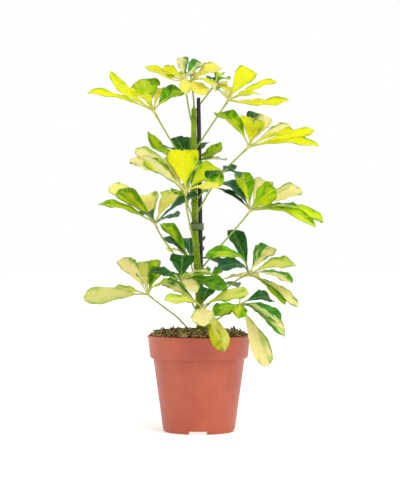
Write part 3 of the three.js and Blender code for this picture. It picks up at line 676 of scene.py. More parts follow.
up_the_stake = (TIE_MIDDLE - STAKE_FOOT.z) / (STAKE_TOP.z - STAKE_FOOT.z)
stake_at_tie = STAKE_FOOT.lerp(STAKE_TOP, up_the_stake)
inner, outer = TIE_RING_RADIUS, TIE_RING_RADIUS + TIE_WALL
section = rounded([(inner, -TIE_HEIGHT / 2, 0), (outer, -TIE_HEIGHT / 2, TIE_CORNER),
                   (outer, TIE_HEIGHT / 2, TIE_CORNER), (inner, TIE_HEIGHT / 2, TIE_CORNER),
                   (inner, -TIE_HEIGHT / 2, 0)], steps=3)
bm = bmesh.new()
points = [bm.verts.new((r, 0, z)) for r, z in section[:-1]]
edges = [bm.edges.new((points[i - 1], points[i])) for i in range(len(points))]
bmesh.ops.spin(bm, geom=points + edges, cent=(0, 0, 0), axis=(0, 0, 1), angle=2 * math.pi,
               steps=TIE_STEPS, use_merge=True, use_duplicate=False)
for vert in bm.verts:
    out = Vector((vert.co.x, vert.co.y, 0))
    wall, out = out.length - TIE_RING_RADIUS, out.normalized()
    wall += TIE_WAVE_HEIGHT * math.sin(vert.co.z * TIE_WAVE_PITCH)
    spots = [STEM_AT_TIE + out * (STEM_ROOM + wall), stake_at_tie + out * (STAKE_ROOM + wall)]
    vert.co = max(spots, key=lambda spot: spot.dot(out)) + Vector((0, 0, vert.co.z))
print("the tie's band has", len(bm.faces), "faces")

# %% The two ends of the tie
LUG_SIZE, LUG_ROUNDING = (2.8, 1.8, 1.3), 0.35
LUGS = ((1.8, 0.3), (-1.8, -0.25))

for height, turn in LUGS:
    lug = bmesh.ops.create_cube(bm, size=1)["verts"]
    bmesh.ops.scale(bm, vec=LUG_SIZE, verts=lug)
    edges = list({edge for vert in lug for edge in vert.link_edges})
    bmesh.ops.bevel(bm, geom=edges, offset=LUG_ROUNDING, affect="EDGES", segments=2,
                    profile=0.5, material=-1)
    lug = [vert for vert in bm.verts if vert.co.length < LUG_SIZE[0]]
    bmesh.ops.rotate(bm, cent=(0, 0, 0), matrix=Matrix.Rotation(turn, 3, "Y"), verts=lug)
    bmesh.ops.translate(bm, verts=lug,
                        vec=STEM_AT_TIE + Vector((-STEM_ROOM - LUG_SIZE[0] / 2, 0, height)))
bmesh.ops.scale(bm, vec=(MM, MM, MM), verts=bm.verts)
bmesh.ops.translate(bm, verts=bm.verts, vec=pot_axis)
bmesh.ops.recalc_face_normals(bm, faces=bm.faces)
piece("tie_band", bm, [tie_plastic], "tie")

# %% [markdown]
# ## Leaves
# A leaf is a long round stalk with a hub at its end, and leaflets which spread from the hub
# like the ribs of an umbrella. Its form was read off the plant and is written down leaf by
# leaf: where the hub is, which way the leaf looks, the points that its stalk passes, and
# one row for each leaflet.
#
# A row says how far the tip lies to the right of the hub and above it, and how far it is
# from the hub in a straight line, with a minus where it comes forward. Then come the
# blade's width, how far it stands above that straight line near the hub and near the tip,
# how far its face turns to the front, how far each half is folded up, in degrees, and what
# its markings are.

# %% Where the leaves and leaflets are, in mm from the pot's axis
LEAVES = {
    "leaf_top_left": {
        "hub": (-52, -10, 367),
        "faces": (-0.15, -0.35, 0.9),
        "stalk": [(-5.7, 0, 296), (-10, -3, 303), (-27, -6, 325)],
        "leaflets": [
            (-75, 19, -79, 21, 5, 3, 0.1, 20, "sun"),
            (-51, 48, 73, 16, -1, -15, 0.1, 22, "sun"),
            (-30, 32, 70, 22, 8, 7, 0.1, 18, "pale"),
            (-14, 41, 58, 36, 13, 5, 0.5, -12, "fresh"),
            (34, 27, 62, 29, 7, 7, 0.4, 14, "leafy"),
            (9, 32, 60, 12, 4, 4, 0.2, 20, "pale"),
            (-38, 25, -56, 18, 6, 2, 0.2, 18, "sun"),
            (-16, 13, -54, 20, 9, 2, 0.2, 18, "sun"),
        ],
    },
    "leaf_crown_left": {
        "hub": (-16, -6, 403),
        "faces": (-0.1, -0.3, 0.95),
        "stalk": [(-5.9, 0, 350), (-9.5, -2, 359), (-14, -4, 384)],
        "leaflets": [
            (-47, 19, 62, 16, -2, -1, 0.1, 20, "sun"),
            (-37, 8, -56, 18, -6, -3, 0.2, 20, "pale"),
            (-30, 16, 52, 21, 3, 2, 0.4, 18, "sun"),
            (-4, 30, 46, 15, 2, 2, 0.6, 18, "edged"),
            (19, 24, 48, 20, 5, 5, 0.5, 16, "split"),
            (2, -20, -46, 15, 6, 4, 0.4, 18, "pale"),
            (-16, 9, 52, 16, 5, 5, 0, 18, "sun"),
        ],
    },
    "leaf_crown_right": {
        "hub": (-9, 12, 404),
        "faces": (0.3, -0.2, 0.9),
        "stalk": [(-5.9, 0, 368), (-5.9, 1, 378), (-6.7, 4, 386)],
        "leaflets": [
            (32, 20, 50, 20, 4, 3, 0.35, 18, "pale"),
            (12, -21, -48, 22, 4, 3, 0.45, 12, "pale"),
            (10, 12, 50, 18, 5, 5, 0, 20, "pale"),
            (-8, 10, 46, 16, 5, 5, 0, 20, "edged"),
            (23, -8, -44, 18, 4, 3, 0.2, 18, "sun"),
        ],
    },
    "leaf_small_back": {
        "hub": (19, 30, 402),
        "faces": (0.2, -0.2, 0.9),
        "stalk": [(-5.9, 0, 358), (-5.5, 7, 365), (2, 14, 378)],
        "leaflets": [
            (5, 17, 38, 14, 4, 3, 0.4, 18, "lime"),
            (-7, 9, 34, 12, 4, 4, 0, 20, "dark"),
            (14, 2, -32, 14, 4, 3, 0.2, 20, "leafy"),
            (0, -11, -32, 12, 5, 4, 0.5, 18, "cream"),
            (12, -11, -34, 14, 3, 2, 0.2, 18, "pale"),
            (10, 3, 38, 14, 3, 3, 0, 20, "sun"),
        ],
    },
    "leaf_upper_right": {
        "hub": (34, -5, 380),
        "faces": (0.25, -0.35, 0.85),
        "stalk": [(-5.8, 0, 320), (-3, -5, 325), (5, -6, 337), (21, -6, 361)],
        "leaflets": [
            (26, 41, 66, 25, 4, 3, 0.5, 12, "sun"),
            (57, 24, 67, 15, 3, 3, 0, 20, "sun"),
            (68, -2.5, -72, 20, -5, -5, 0.25, 16, "sun"),
            (-11, 7, -38, 19, 0, 0, 0.2, 20, "edged"),
            (2, 20, 54, 15, 4, 4, 0.3, 18, "pale"),
            (36, 12, 62, 16, 3, 3, 0, 20, "sun"),
            (40, -3, -50, 13, -1, -2, 0.1, 20, "pale"),
        ],
    },
    "leaf_right_second": {
        "hub": (57, -10, 326),
        "faces": (0.3, -0.4, 0.85),
        "stalk": [(-5, 0, 260), (1, -5, 270), (10, -7, 280), (37, -9, 307)],
        "leaflets": [
            (-35, 42, 68, 27, 10, 8, 0.3, 16, "domed"),
            (5, 37, 56, 30, 6, 2, 0.5, 12, "sun"),
            (9, 45, 80, 23, 2, 2, -0.2, 22, "dark"),
            (22, 40, 72, 21, 3, 2, 0.3, 16, "cream"),
            (50, 29, 74, 16, 2, 1, 0.05, 20, "cream"),
            (49, 14, -64, 21, 4, 2, 0.2, 18, "sun"),
            (79, -1.5, -83, 19, 5, 6, 0.15, 18, "sun"),
            (77, 22, 86, 20, 2, -5, 0.15, 18, "sun"),
        ],
    },
    "leaf_front_middle": {
        "hub": (-15, -55, 273),
        "faces": (0, -0.5, 0.85),
        "stalk": [(-3, 0, 204), (-6, -12, 216), (-10, -30, 236), (-14, -45, 256)],
        "leaflets": [
            (-4, 49, 57, 38, 5, 3, 0.5, 12, "sun"),
            (37, 28, 56, 29, 6, 4, 0.45, 14, "citron"),
            (16, 37, 58, 14, 2, 2, 0.3, 18, "split"),
            (37, 3, -52, 17, 5, 2, 0.2, 18, "pale"),
            (-47, 36, 62, 19, 3, 5, 0.25, 20, "lime"),
            (-63, 37, 78, 21, 12, 7, 0.3, 18, "cream"),
            (-57, 51, 86, 20, 6, 4, 0.25, 18, "cream"),
            (-30, 38, 62, 20, 4, 4, 0.35, 18, "cream"),
            (3, 22, 60, 22, 8, 8, 0, 20, "lime"),
        ],
    },
    "leaf_behind_upper": {
        "hub": (-11, 45, 310),
        "faces": (0, 0.2, 0.95),
        "stalk": [(-5, 0, 264), (-7, 10, 274), (-10, 30, 295)],
        "leaflets": [
            (-50, 39, 67, 17, 0, -19, 0.45, 20, "fresh"),
            (-32, 22, 68, 15, 5, 5, 0, 20, "dark"),
            (-18, 33, 48, 21, 3, 3, 0.45, 16, "dark"),
            (0, 33, 46, 20, 3, 3, 0.45, 16, "dark"),
            (22, 28, 56, 12, 2, 2, 0, 20, "dark"),
            (37, 28, 58, 19, 3, -14, 0.4, 18, "fresh"),
            (43, 6, 62, 20, 3, 3, 0.3, 18, "edged"),
            (4, -4, 74, 22, 8, 8, 0, 22, "dark"),
        ],
    },
    "leaf_right_small": {
        "hub": (25.5, -48, 294),
        "faces": (0, -0.3, 0.9),
        "stalk": [(-4.8, 0, 243), (0, -14, 254), (13, -34, 276)],
        "leaflets": [
            (13, 2, -34, 14, 5, 5, 0, 20, "dark"),
            (-16, -8, -34, 14, 5, 5, 0, 20, "dark"),
            (-7, -18, -34, 16, 6, 6, 0.3, 18, "leafy"),
            (12, 4, 32, 14, 4, 4, 0, 20, "dark"),
            (20, -4, 34, 14, 5, 5, 0, 20, "grey"),
        ],
    },
    "leaf_right_third": {
        "hub": (59, -15, 253),
        "faces": (0.3, -0.4, 0.85),
        "stalk": [(-1.5, 0, 181), (4, -7, 188), (18, -9, 205), (45, -12, 236)],
        "leaflets": [
            (-33, 35, 70, 24, 7, 6, 0.15, 18, "grey"),
            (-37, 27, 65, 15, 4, 2, 0, 20, "dark"),
            (-10, 46, 64, 24, 4, 3, 0.45, 14, "domed"),
            (18, 37, 68, 24, 5, 5, 0.3, 16, "cream"),
            (28, 24, -41, 30, 5, 2, 0.4, 10, "fresh"),
            (60, 26, 74, 22, 5, 5, 0.3, 16, "cream"),
            (72, -20, -82, 15, 13, 14, 0.35, 18, "lime"),
            (85, -13, 90, 18, 12, 15, 0.45, 18, "lime"),
            (51, 3, -64, 14, 5, 2, 0.15, 20, "edged"),
        ],
    },
    "leaf_left_middle": {
        "hub": (-50, -20, 238),
        "faces": (-0.2, -0.35, 0.9),
        "stalk": [(-1, 0, 163), (-12, -3, 178), (-30, -7, 205), (-43, -15, 224)],
        "leaflets": [
            (-66, 22, 73, 18, 6, 7, 0, 18, "fresh"),
            (-43, 39, 64, 22, 7, 5, 0.25, 18, "domed"),
            (-53, 45, 80, 22, 7, 5, 0.35, 16, "pale_painted_light"),
            (-11, 34, 56, 27, 8, 4, 0.45, 14, "pale_painted_light"),
            (22, 35, 65, 21, 6, 3, 0.4, 16, "pale_painted_light"),
            (27, 7, -50, 19, 3, 2, 0, 18, "grey"),
            (-12, 9, -44, 18, 7, 6, 0, 20, "dark"),
            (50, 32, -61, 26, 4, 3, 0, 18, "grey"),
        ],
    },
    "leaf_behind_lower": {
        "hub": (-10, 40, 195),
        "faces": (0, 0.2, 0.95),
        "stalk": [(-0.5, 0, 156), (-4, 12, 168), (-8, 30, 186)],
        "leaflets": [
            (-34, 45, 72, 19, 6, 6, 0.4, 16, "leafy"),
            (-32, 28, 56, 22, 6, 6, 0.35, 16, "grey"),
            (-3, 27, 50, 22, 6, 5, 0.35, 16, "grey"),
            (12, 28, 58, 18, 6, 6, 0.3, 18, "dark"),
            (-26, 11, 62, 18, 6, 6, 0.1, 20, "sun"),
            (8, 8, 74, 22, 8, 8, 0, 20, "dark"),
            (38, -4, 70, 20, 5, 5, 0, 20, "dark"),
        ],
    },
    "leaf_front_low": {
        "hub": (-20, -35, 173),
        "faces": (0, -0.4, 0.9),
        "stalk": [(0.8, 0, 132), (-6, -12, 144), (-14, -26, 160)],
        "leaflets": [
            (1, 29, 38, 29, 4, 3, 0.45, 14, "dark"),
            (32, 11, -58, 15, 6, 4, 0, 20, "edged"),
            (51, -10, -68, 21, 10, 6, 0.3, 18, "green"),
            (44, 3, 56, 14, 6, 6, 0, 20, "leafy"),
            (17, -12, -46, 18, 7, 5, 0.3, 18, "cream"),
            (-19, 6, -50, 18, 7, 5, 0.2, 20, "dark"),
            (-37, 9, 50, 17, 5, 5, 0.2, 20, "dark"),
        ],
    },
    "leaf_lower_left": {
        "hub": (-58, -15, 157),
        "faces": (-0.1, -0.4, 0.9),
        "stalk": [(-5, -9.5, 92), (-8.2, -10, 112), (-18, -11, 124), (-27, -12, 133), (-47, -14, 148)],
        "leaflets": [
            (-73, -5, -77, 24, 5, 5, 0.5, 16, "soft"),
            (-33, 41, 68, 21, 6, 5, 0.3, 16, "cream"),
            (-10, 23, -42, 14, 4, 3, 0.2, 20, "edged"),
            (-8, 37, 57, 18, 5, 4, 0.35, 18, "lemon"),
            (8, 40, 72, 16, 2, 1, 0.1, 22, "lime"),
            (15, 31, 56, 18, 6, 5, 0.25, 18, "leafy"),
            (23, 13, -48, 19, 6, 3, 0.2, 18, "lemon"),
            (-46, 3, 66, 17, 4, 3, 0.2, 18, "lemon"),
        ],
    },
    "leaf_front_lowest": {
        "hub": (3, -55, 144),
        "faces": (0, -0.6, 0.8),
        "stalk": [(1.5, 0, 118), (2, -14, 125), (3, -36, 137)],
        "leaflets": [
            (2, -19, -44, 28, 6, 4, 0.4, 12, "cream"),
            (8, 20, 42, 24, 5, 5, 0.2, 18, "dark"),
            (-45, 28, 60, 16, 8, 7, 0.3, 18, "edged"),
            (-41, 9, -56, 16, 8, 4, 0.25, 18, "lemon"),
            (52, 16, -64, 21, 7, 3, 0.2, 18, "lemon"),
            (25, -47, -61, 22, 10, 6, 0.3, 16, "olive"),
        ],
    },
    "leaf_right_lower": {
        "hub": (57, -5, 180),
        "faces": (0.2, -0.3, 0.9),
        "stalk": [(0.5, 0, 136), (8, -6, 143), (40, -6, 171)],
        "leaflets": [
            (-18, 52, 72, 22, 6, 4, 0.35, 16, "dark"),
            (-50, 20, -66, 22, 19, 14, 0.25, 16, "leafy"),
            (-36, 7, -52, 21, 12, 10, 0.35, 16, "grey"),
            (26, 32, 60, 26, 6, 4, 0.3, 16, "edged"),
            (55, 12, 71, 24, 7, 4, 0.25, 16, "lemon"),
            (48, -9, -64, 18, 8, 5, 0.25, 18, "edged"),
            (54, -37, -76, 16, 7, 6, 0.35, 18, "edged"),
            (40, -34, -62, 13, 6, 4, 0.2, 18, "lime"),
        ],
    },
    "leaf_right_lowest": {
        "hub": (46, -25, 146),
        "faces": (0.2, -0.5, 0.85),
        "stalk": [(1.6, 0, 115), (9, -7, 121), (24, -14, 131)],
        "leaflets": [
            (38, 4, 60, 22, 9, 7, 0.35, 16, "dark"),
            (45, -18, -64, 18, 10, 8, 0.35, 16, "split"),
            (49, -34, -75, 16, 13, 13, 0.4, 18, "edged"),
            (30, -69, -82, 24, 8, 6, 0.5, 16, "cream"),
            (-28, -11, -50, 22, 4, 3, 0.15, 20, "leafy"),
            (-1, 11, 48, 18, 6, 6, 0, 20, "leafy"),
            (-3, -14, -46, 19, 6, 4, 0.25, 18, "domed"),
        ],
    },
    "leaf_back_left": {
        "hub": (-14, 52, 262),
        "faces": (-0.1, 0.4, 0.9),
        "stalk": [(-3.6, 0, 222), (-4.5, 14, 230), (-9, 36, 249)],
        "leaflets": [
            (-30, 10, 64, 20, 8, 8, 0, 20, "lime"),
            (-14, 14, 66, 20, 9, 9, 0, 20, "leafy"),
            (6, 12, 68, 22, 9, 9, 0, 20, "cream"),
            (24, 16, 62, 20, 8, 8, 0, 20, "leafy"),
            (-8, 26, 50, 18, 6, 6, 0, 20, "lime"),
        ],
    },
    "leaf_back_low": {
        "hub": (14, 54, 166),
        "faces": (0.1, 0.4, 0.9),
        "stalk": [(0.2, 0, 144), (-1, 14, 148), (8, 38, 158)],
        "leaflets": [
            (-50, 4, 74, 20, 8, 8, 0, 20, "leafy"),
            (-26, -4, 78, 20, 9, 9, 0, 20, "cream"),
            (4, -8, 82, 20, 5, 5, 0, 20, "leafy"),
            (34, -4, 78, 20, 3, 3, 0, 20, "dark"),
            (60, 8, 70, 20, 6, 6, 0, 20, "edged"),
            (20, 18, 54, 20, 6, 6, 0, 20, "leafy"),
        ],
    },
}
print("there are", len(LEAVES), "leaves")

# %% [markdown]
# ### Markings
# No two leaflets are marked alike. The middle of a blade has lost its green and is cream or
# yellow, the margin keeps it, and the border between them runs in flames along the side
# veins. Each kind of marking is a colour for the middle, a colour for the margin, how much
# of the blade is green, and how far the green leans to one half of the blade.

# %% Kinds of markings
MARKINGS = {
    "sun": ("#E8E80C", "#B9D010", 0.16, 0.1),
    "citron": ("#D2DA0A", "#A6C60C", 0.30, 0.2),
    "lime": ("#D9E614", "#98C412", 0.38, 0.3),
    "domed": ("#DFE20E", "#86BC0C", 0.52, 0.3),
    "fresh": ("#CFDC0C", "#98C410", 0.48, 0.3),
    "leafy": ("#D2E418", "#74B416", 0.55, 0.45),
    "green": ("#9CC41A", "#5F9A18", 0.85, 0.2),
    "olive": ("#DEDC70", "#AEB414", 0.52, -0.35),
    "pale": ("#F0E968", "#C4D048", 0.10, 0.1),
    # painted light: a lighter copy of pale, for leaflets that lie in the shade of the leaves above
    "pale_painted_light": ("#F7F19A", "#C2D65C", 0.12, 0.2),
    "lemon": ("#E0E072", "#A4C83C", 0.26, 0.2),
    "soft": ("#D4D388", "#9FBC4A", 0.16, 0.2),
    "cream": ("#EEE6A6", "#9CBC44", 0.15, 0.2),
    "edged": ("#EBE49C", "#569C24", 0.34, 0.4),
    "split": ("#F4EEA8", "#549E34", 0.55, 0.35),
    "dark": ("#8FB83A", "#306F24", 0.93, 0.2),
    "grey": ("#A9BE7A", "#458058", 0.97, 0.1),
}
print("there are", len(MARKINGS), "kinds of markings")

# %% [markdown]
# ### Leaf tissue
# The blade is a thin, waxy sheet that lets some light through. What the eye reads in it is
# flames of three greens on yellow, a pale midrib with fine side veins that slant forward,
# a thin green rim, a greyer underside, and a soft gloss broken by the veins. The blade
# carries its own coordinates for this. "blade" says how far across and along each point
# is, from 0 to 1, and which skin it is on. "vein" gives the same in mm, slanted with the
# side veins. Every pattern below reads one of the two, so it follows the blade as it bends.
#
# Green comes first. A place is green where its distance from the midrib, with noise added,
# is over a level that the leaflet's marking sets. Just under that level it is half green.

# %% Where a blade is green
FLAME_LENGTH, FLAME_WIDTH, FLAME_DEPTH = 18.2, 6.25, 0.32
GREEN_LEVELS = (0.8, -0.28)


def green_places(tree, parts, vein):
    """Where a blade is fully green and half green, and the noise of its flames."""
    marks = add(tree, "Attribute", {"attribute_name": "marks"}, {})
    green = add(tree, "SeparateXYZ", {}, {"Vector": (marks, "Vector")})
    leaning = add(tree, "Math", {"operation": "SUBTRACT"}, {0: (parts, "X"), 1: (green, "Y")})
    from_line = add(tree, "Math", {"operation": "ABSOLUTE"}, {0: leaning})
    edge = add(tree, "Math", {"operation": "POWER"}, {0: from_line, 1: 1.7})
    # flames 18 mm long and 6 mm wide
    flames_at = add(tree, "Mapping", {}, {"Vector": (vein, "Vector"),
                                          "Scale": (1 / FLAME_LENGTH, 1 / FLAME_WIDTH, 1)})
    flames = add(tree, "TexNoise", {}, {"Vector": flames_at, "Scale": 1, "Detail": 3,
                                        "Roughness": 0.42})
    flame = add(tree, "MapRange", {"clamp": False},
                {"Value": flames, "From Min": 0.3, "From Max": 0.7,
                 "To Min": -FLAME_DEPTH, "To Max": FLAME_DEPTH})
    edged = add(tree, "Math", {"operation": "MULTIPLY_ADD"}, {0: edge, 1: 0.6, 2: flame})
    tip = add(tree, "MapRange", {}, {"Value": (parts, "Y"), "From Min": 0.8, "From Max": 1,
                                     "To Max": 0.25})
    kept = add(tree, "Math", {"operation": "ADD"}, {0: edged, 1: tip})
    level = add(tree, "MapRange", {"clamp": False},
                {"Value": (green, "X"), "To Min": GREEN_LEVELS[0], "To Max": GREEN_LEVELS[1]})
    over = add(tree, "Math", {"operation": "SUBTRACT"}, {0: kept, 1: level})
    full = add(tree, "MapRange", {"interpolation_type": "SMOOTHSTEP"},
               {"Value": over, "From Min": -0.015, "From Max": 0.03})
    half = add(tree, "MapRange", {"interpolation_type": "SMOOTHSTEP"},
               {"Value": over, "From Min": -0.4, "From Max": -0.02, "To Max": 0.55})
    return full, half, flames


# %% [markdown]
# The colours then fill those places. The full green is lighter and darker in bands along
# the side veins, and a thin dark rim of green is left on parts of the margin. The rim is
# what makes a pale leaflet stand out from the paper.

# %% The colours of the markings
SHADE_LENGTH, SHADE_WIDTH, SHADE_LAYER = 6.25, 14.3, 1.7
RIM_START, RIM_DARKNESS = 0.93, 0.45


def marked_colour(tree, parts, vein, full, half, flames):
    """The leaflet's centre and margin colours in their places, with a dark thin rim."""
    centre = add(tree, "Attribute", {"attribute_name": "centre"}, {})
    margin = add(tree, "Attribute", {"attribute_name": "margin"}, {})
    # bands 6 mm wide and 14 mm long
    shades_at = add(tree, "Mapping", {}, {"Vector": (vein, "Vector"),
                                          "Scale": (1 / SHADE_LENGTH, 1 / SHADE_WIDTH,
                                                    SHADE_LAYER)})
    shades = add(tree, "TexNoise", {}, {"Vector": shades_at, "Scale": 1, "Detail": 2})
    shade = add(tree, "MapRange", {}, {"Value": shades, "From Min": 0.4, "From Max": 0.62,
                                       "To Min": 0.72, "To Max": 1.25})
    shaded = add(tree, "VectorMath", {"operation": "SCALE"}, {0: (margin, "Color"),
                                                             "Scale": shade})
    between = add(tree, "MixRGB", {}, {"Fac": half, "Color1": (centre, "Color"),
                                       "Color2": (margin, "Color")})
    marked = add(tree, "MixRGB", {}, {"Fac": full, "Color1": between,
                                      "Color2": (shaded, "Vector")})
    across = add(tree, "Math", {"operation": "ABSOLUTE"}, {0: (parts, "X")})
    rim = add(tree, "MapRange", {}, {"Value": across, "From Min": RIM_START,
                                     "From Max": 0.985, "To Max": 0.75})
    rim_parts = add(tree, "MapRange", {}, {"Value": flames, "From Min": 0.44,
                                           "From Max": 0.56})
    rimmed = add(tree, "Math", {"operation": "MULTIPLY"}, {0: rim, 1: rim_parts})
    dark = add(tree, "VectorMath", {"operation": "SCALE"}, {0: (margin, "Color"),
                                                           "Scale": RIM_DARKNESS})
    return add(tree, "MixRGB", {}, {"Fac": rimmed, "Color1": marked, "Color2": (dark, "Vector")})


# %% [markdown]
# Veins come last, over the colours. The midrib is 1.5 mm wide and paler than the blade, and
# the side veins leave it every 5.2 mm. A sine of the slanted coordinate draws all of them.

# %% Veins
SIDE_VEIN_SPACING = 5.2
MIDRIB_HALF_WIDTHS = (0.2, 0.75)


def vein_lines(tree, vein):
    """How strongly the midrib or a side vein shows."""
    slanted = add(tree, "SeparateXYZ", {}, {"Vector": (vein, "Vector")})
    away = add(tree, "Math", {"operation": "ABSOLUTE"}, {0: (slanted, "Y")})
    midrib = add(tree, "MapRange", {"interpolation_type": "SMOOTHSTEP"},
                 {"Value": away, "From Min": MIDRIB_HALF_WIDTHS[0],
                  "From Max": MIDRIB_HALF_WIDTHS[1], "To Min": 0.55, "To Max": 0})
    turns = add(tree, "Math", {"operation": "MULTIPLY"}, {0: (slanted, "X"),
                                                         1: 2 * math.pi / SIDE_VEIN_SPACING})
    waves = add(tree, "Math", {"operation": "SINE"}, {0: turns})
    side_veins = add(tree, "MapRange", {"interpolation_type": "SMOOTHSTEP"},
                     {"Value": waves, "From Min": 0.86, "From Max": 1, "To Max": 0.09})
    return add(tree, "Math", {"operation": "MAXIMUM"}, {0: midrib, 1: side_veins})


# %% [markdown]
# The finish joins these. Toward its stalk a leaflet turns the pale colour of the hub, and
# its underside is greyer. Part of the light goes through the blade, which is what lights a
# yellow leaf up against a bright room. The wax gives a gloss that is soft and low.

# %% The finish of the blades
SKIN_GRAIN = 1.11


def leaf_tissue(tree):
    """A thin waxy blade, marked yellow, cream and green, which lets light through."""
    blade = add(tree, "Attribute", {"attribute_name": "blade"}, {})
    vein = add(tree, "Attribute", {"attribute_name": "vein"}, {})
    parts = add(tree, "SeparateXYZ", {}, {"Vector": (blade, "Vector")})
    full, half, flames = green_places(tree, parts, vein)
    marked = marked_colour(tree, parts, vein, full, half, flames)

    veins = vein_lines(tree, vein)
    stronger = add(tree, "MapRange", {}, {"Value": full, "To Min": 0.55, "To Max": 0.9})
    seen = add(tree, "Math", {"operation": "MULTIPLY"}, {0: veins, 1: stronger})
    sap = add(tree, "MixRGB", {}, {"Fac": full, "Color1": linear("#E6E6A0"),
                                   "Color2": linear("#B3C878")})
    veined = add(tree, "MixRGB", {}, {"Fac": seen, "Color1": marked, "Color2": sap})

    base = add(tree, "MapRange", {"interpolation_type": "SMOOTHSTEP"},
               {"Value": (parts, "Y"), "From Min": 0.08, "From Max": 0.22,
                "To Min": 0.8, "To Max": 0})
    upper = add(tree, "MixRGB", {}, {"Fac": base, "Color1": veined,
                                     "Color2": linear("#D9D68A")})
    grey = add(tree, "MapRange", {}, {"Value": full, "To Min": 0.05, "To Max": 0.35})
    greyed = add(tree, "MixRGB", {}, {"Fac": grey, "Color1": upper,
                                      "Color2": linear("#93AE8C")})
    colour = add(tree, "MixRGB", {}, {"Fac": (parts, "Z"), "Color1": upper,
                                      "Color2": greyed})

    # the cells of the skin are under 0.1 mm, and are drawn at 1.1 mm so that they show
    fine = add(tree, "TexNoise", {}, {"Vector": (vein, "Vector"), "Scale": 1 / SKIN_GRAIN,
                                      "Detail": 3})
    rough = add(tree, "MapRange", {}, {"Value": fine, "From Min": 0.3, "From Max": 0.7,
                                       "To Min": 0.34, "To Max": 0.52})
    height = add(tree, "Math", {"operation": "MULTIPLY_ADD"}, {0: veins, 1: -0.8, 2: fine})
    bump = add(tree, "Bump", {}, {"Strength": 0.5, "Distance": 0.4 * MM, "Height": height})
    skin = add(tree, "BsdfPrincipled", {}, {"Base Color": colour, "Roughness": rough,
                                            "IOR": 1.42, "Specular IOR Level": 0.16,
                                            "Normal": bump})
    through = add(tree, "HueSaturation", {}, {"Color": colour, "Saturation": 1.1,
                                              "Value": 1.12})
    glow = add(tree, "BsdfTranslucent", {}, {"Color": through, "Normal": bump})
    return add(tree, "MixShader", {}, {"Fac": 0.4, 1: skin, 2: glow})


tissue = finish("umbrella_leaf_variegated", leaf_tissue)

# %% [markdown]
# A stalk is a firm green rod that turns paler, and then almost the colour of straw, where
# it meets the hub. Fine pale specks, its breathing pores, break the green.

# %% The finish of the stalks
STALK_SHADES = ((0.3, "#849C14"), (0.85, "#95A41E"), (0.98, "#A49A34"))


def stalk_skin(tree):
    """Smooth green skin that pales along the stalk, with faint lines and specks."""
    place = add(tree, "TexCoord", {}, {})
    along = add(tree, "Attribute", {"attribute_name": "along"}, {})
    # lines 4 mm wide and 8 mm long, which bend the colour a little
    stretched = add(tree, "Mapping", {}, {"Vector": (place, "Object"),
                                          "Scale": cells(3.85, 3.85, 8.33)})
    lines = add(tree, "TexNoise", {}, {"Vector": stretched, "Scale": 1, "Detail": 1})
    noisy = add(tree, "Math", {"operation": "MULTIPLY_ADD"}, {0: lines, 1: 0.06,
                                                             2: (along, "Fac")})
    ramp = add(tree, "ValToRGB", {}, {"Fac": noisy})
    ramp.color_ramp.elements[0].color = linear("#6C8A14")
    ramp.color_ramp.elements[1].color = linear("#C9C36A")
    for spot, shade in STALK_SHADES:
        ramp.color_ramp.elements.new(spot).color = linear(shade)
    # one speck in each 2 mm
    specks = add(tree, "TexVoronoi", {}, {"Vector": (place, "Object"), "Scale": cells(2)})
    speck = add(tree, "MapRange", {}, {"Value": (specks, "Distance"), "From Min": 0.12,
                                       "From Max": 0.2, "To Min": 0.05, "To Max": 0})
    colour = add(tree, "MixRGB", {}, {"Fac": speck, "Color1": ramp,
                                      "Color2": linear("#C7CB6E")})
    bump = add(tree, "Bump", {}, {"Strength": 0.2, "Distance": 0.1 * MM, "Height": lines})
    return add(tree, "BsdfPrincipled", {}, {"Base Color": colour, "Roughness": 0.42,
                                            "IOR": 1.45, "Subsurface Weight": 0.08,
                                            "Subsurface Radius": (0.002, 0.003, 0.0005),
                                            "Normal": bump})


stalk_green = finish("umbrella_leaf_stalk", stalk_skin)

# %% [markdown]
# ### The form of a leaflet
# A leaflet starts as a stalk of its own, widens slowly to its broadest place past the
# middle and ends bluntly. Its midrib is a Bezier line from the hub to the tip, whose two
# handles are lifted off the straight line by the row's two bows.

# %% The outline and midrib of a leaflet
STALK_SHARE, STALK_HALF_WIDTH = 0.14, 1.0
WIDEST, BLUNTNESS, TIP_SHARE = 2.0, 0.5, 0.4
HANDLES, BOW_SHARE = (0.33, 0.7), 0.75
FRONT = Vector((0, -1, 0))


def half_width(share, width):
    """Half of the width of a leaflet at a share of its length, in mm."""
    if share <= STALK_SHARE:
        return STALK_HALF_WIDTH
    along = min(1, (share - STALK_SHARE) / (1 - STALK_SHARE))
    swell = max(0, math.sin(math.pi * along ** WIDEST)) ** BLUNTNESS
    least = STALK_HALF_WIDTH + (TIP_SHARE * width / 2 - STALK_HALF_WIDTH) * along
    return max(least, width / 2 * swell)


def leaflet_line(hub, faces, row):
    """The four Bezier points of a leaflet's midrib, and the direction across it."""
    right, up, reach, width, near_bow, far_bow, front = row[:7]
    away = math.copysign(math.sqrt(max(0, reach ** 2 - right ** 2 - up ** 2)), reach)
    chord = Vector((right, away, up))
    ahead = chord.normalized()
    looks = faces * (1 - abs(front)) + FRONT * front
    face = (looks - ahead * looks.dot(ahead)).normalized()
    near = hub + chord * HANDLES[0] + face * near_bow / BOW_SHARE
    far = hub + chord * HANDLES[1] + face * far_bow / BOW_SHARE
    return [hub, near, far, hub + chord], ahead.cross(face)


print("a leaflet 25 mm wide is", round(2 * half_width(0.75, 25), 1), "mm wide near its tip")

# %% [markdown]
# The blade is folded up along the midrib, ruffled at its margin and never quite flat. The
# next function says where a point of it lies, from how far across and along it is and on
# which skin. Long waves come first, as in the plain solid. Lobes, ruffles and dents of
# about 1 mm follow, more of them on the crisp kinds, then a round little stalk and a
# midrib that stands out below. Some leaflets have a notch at the tip.

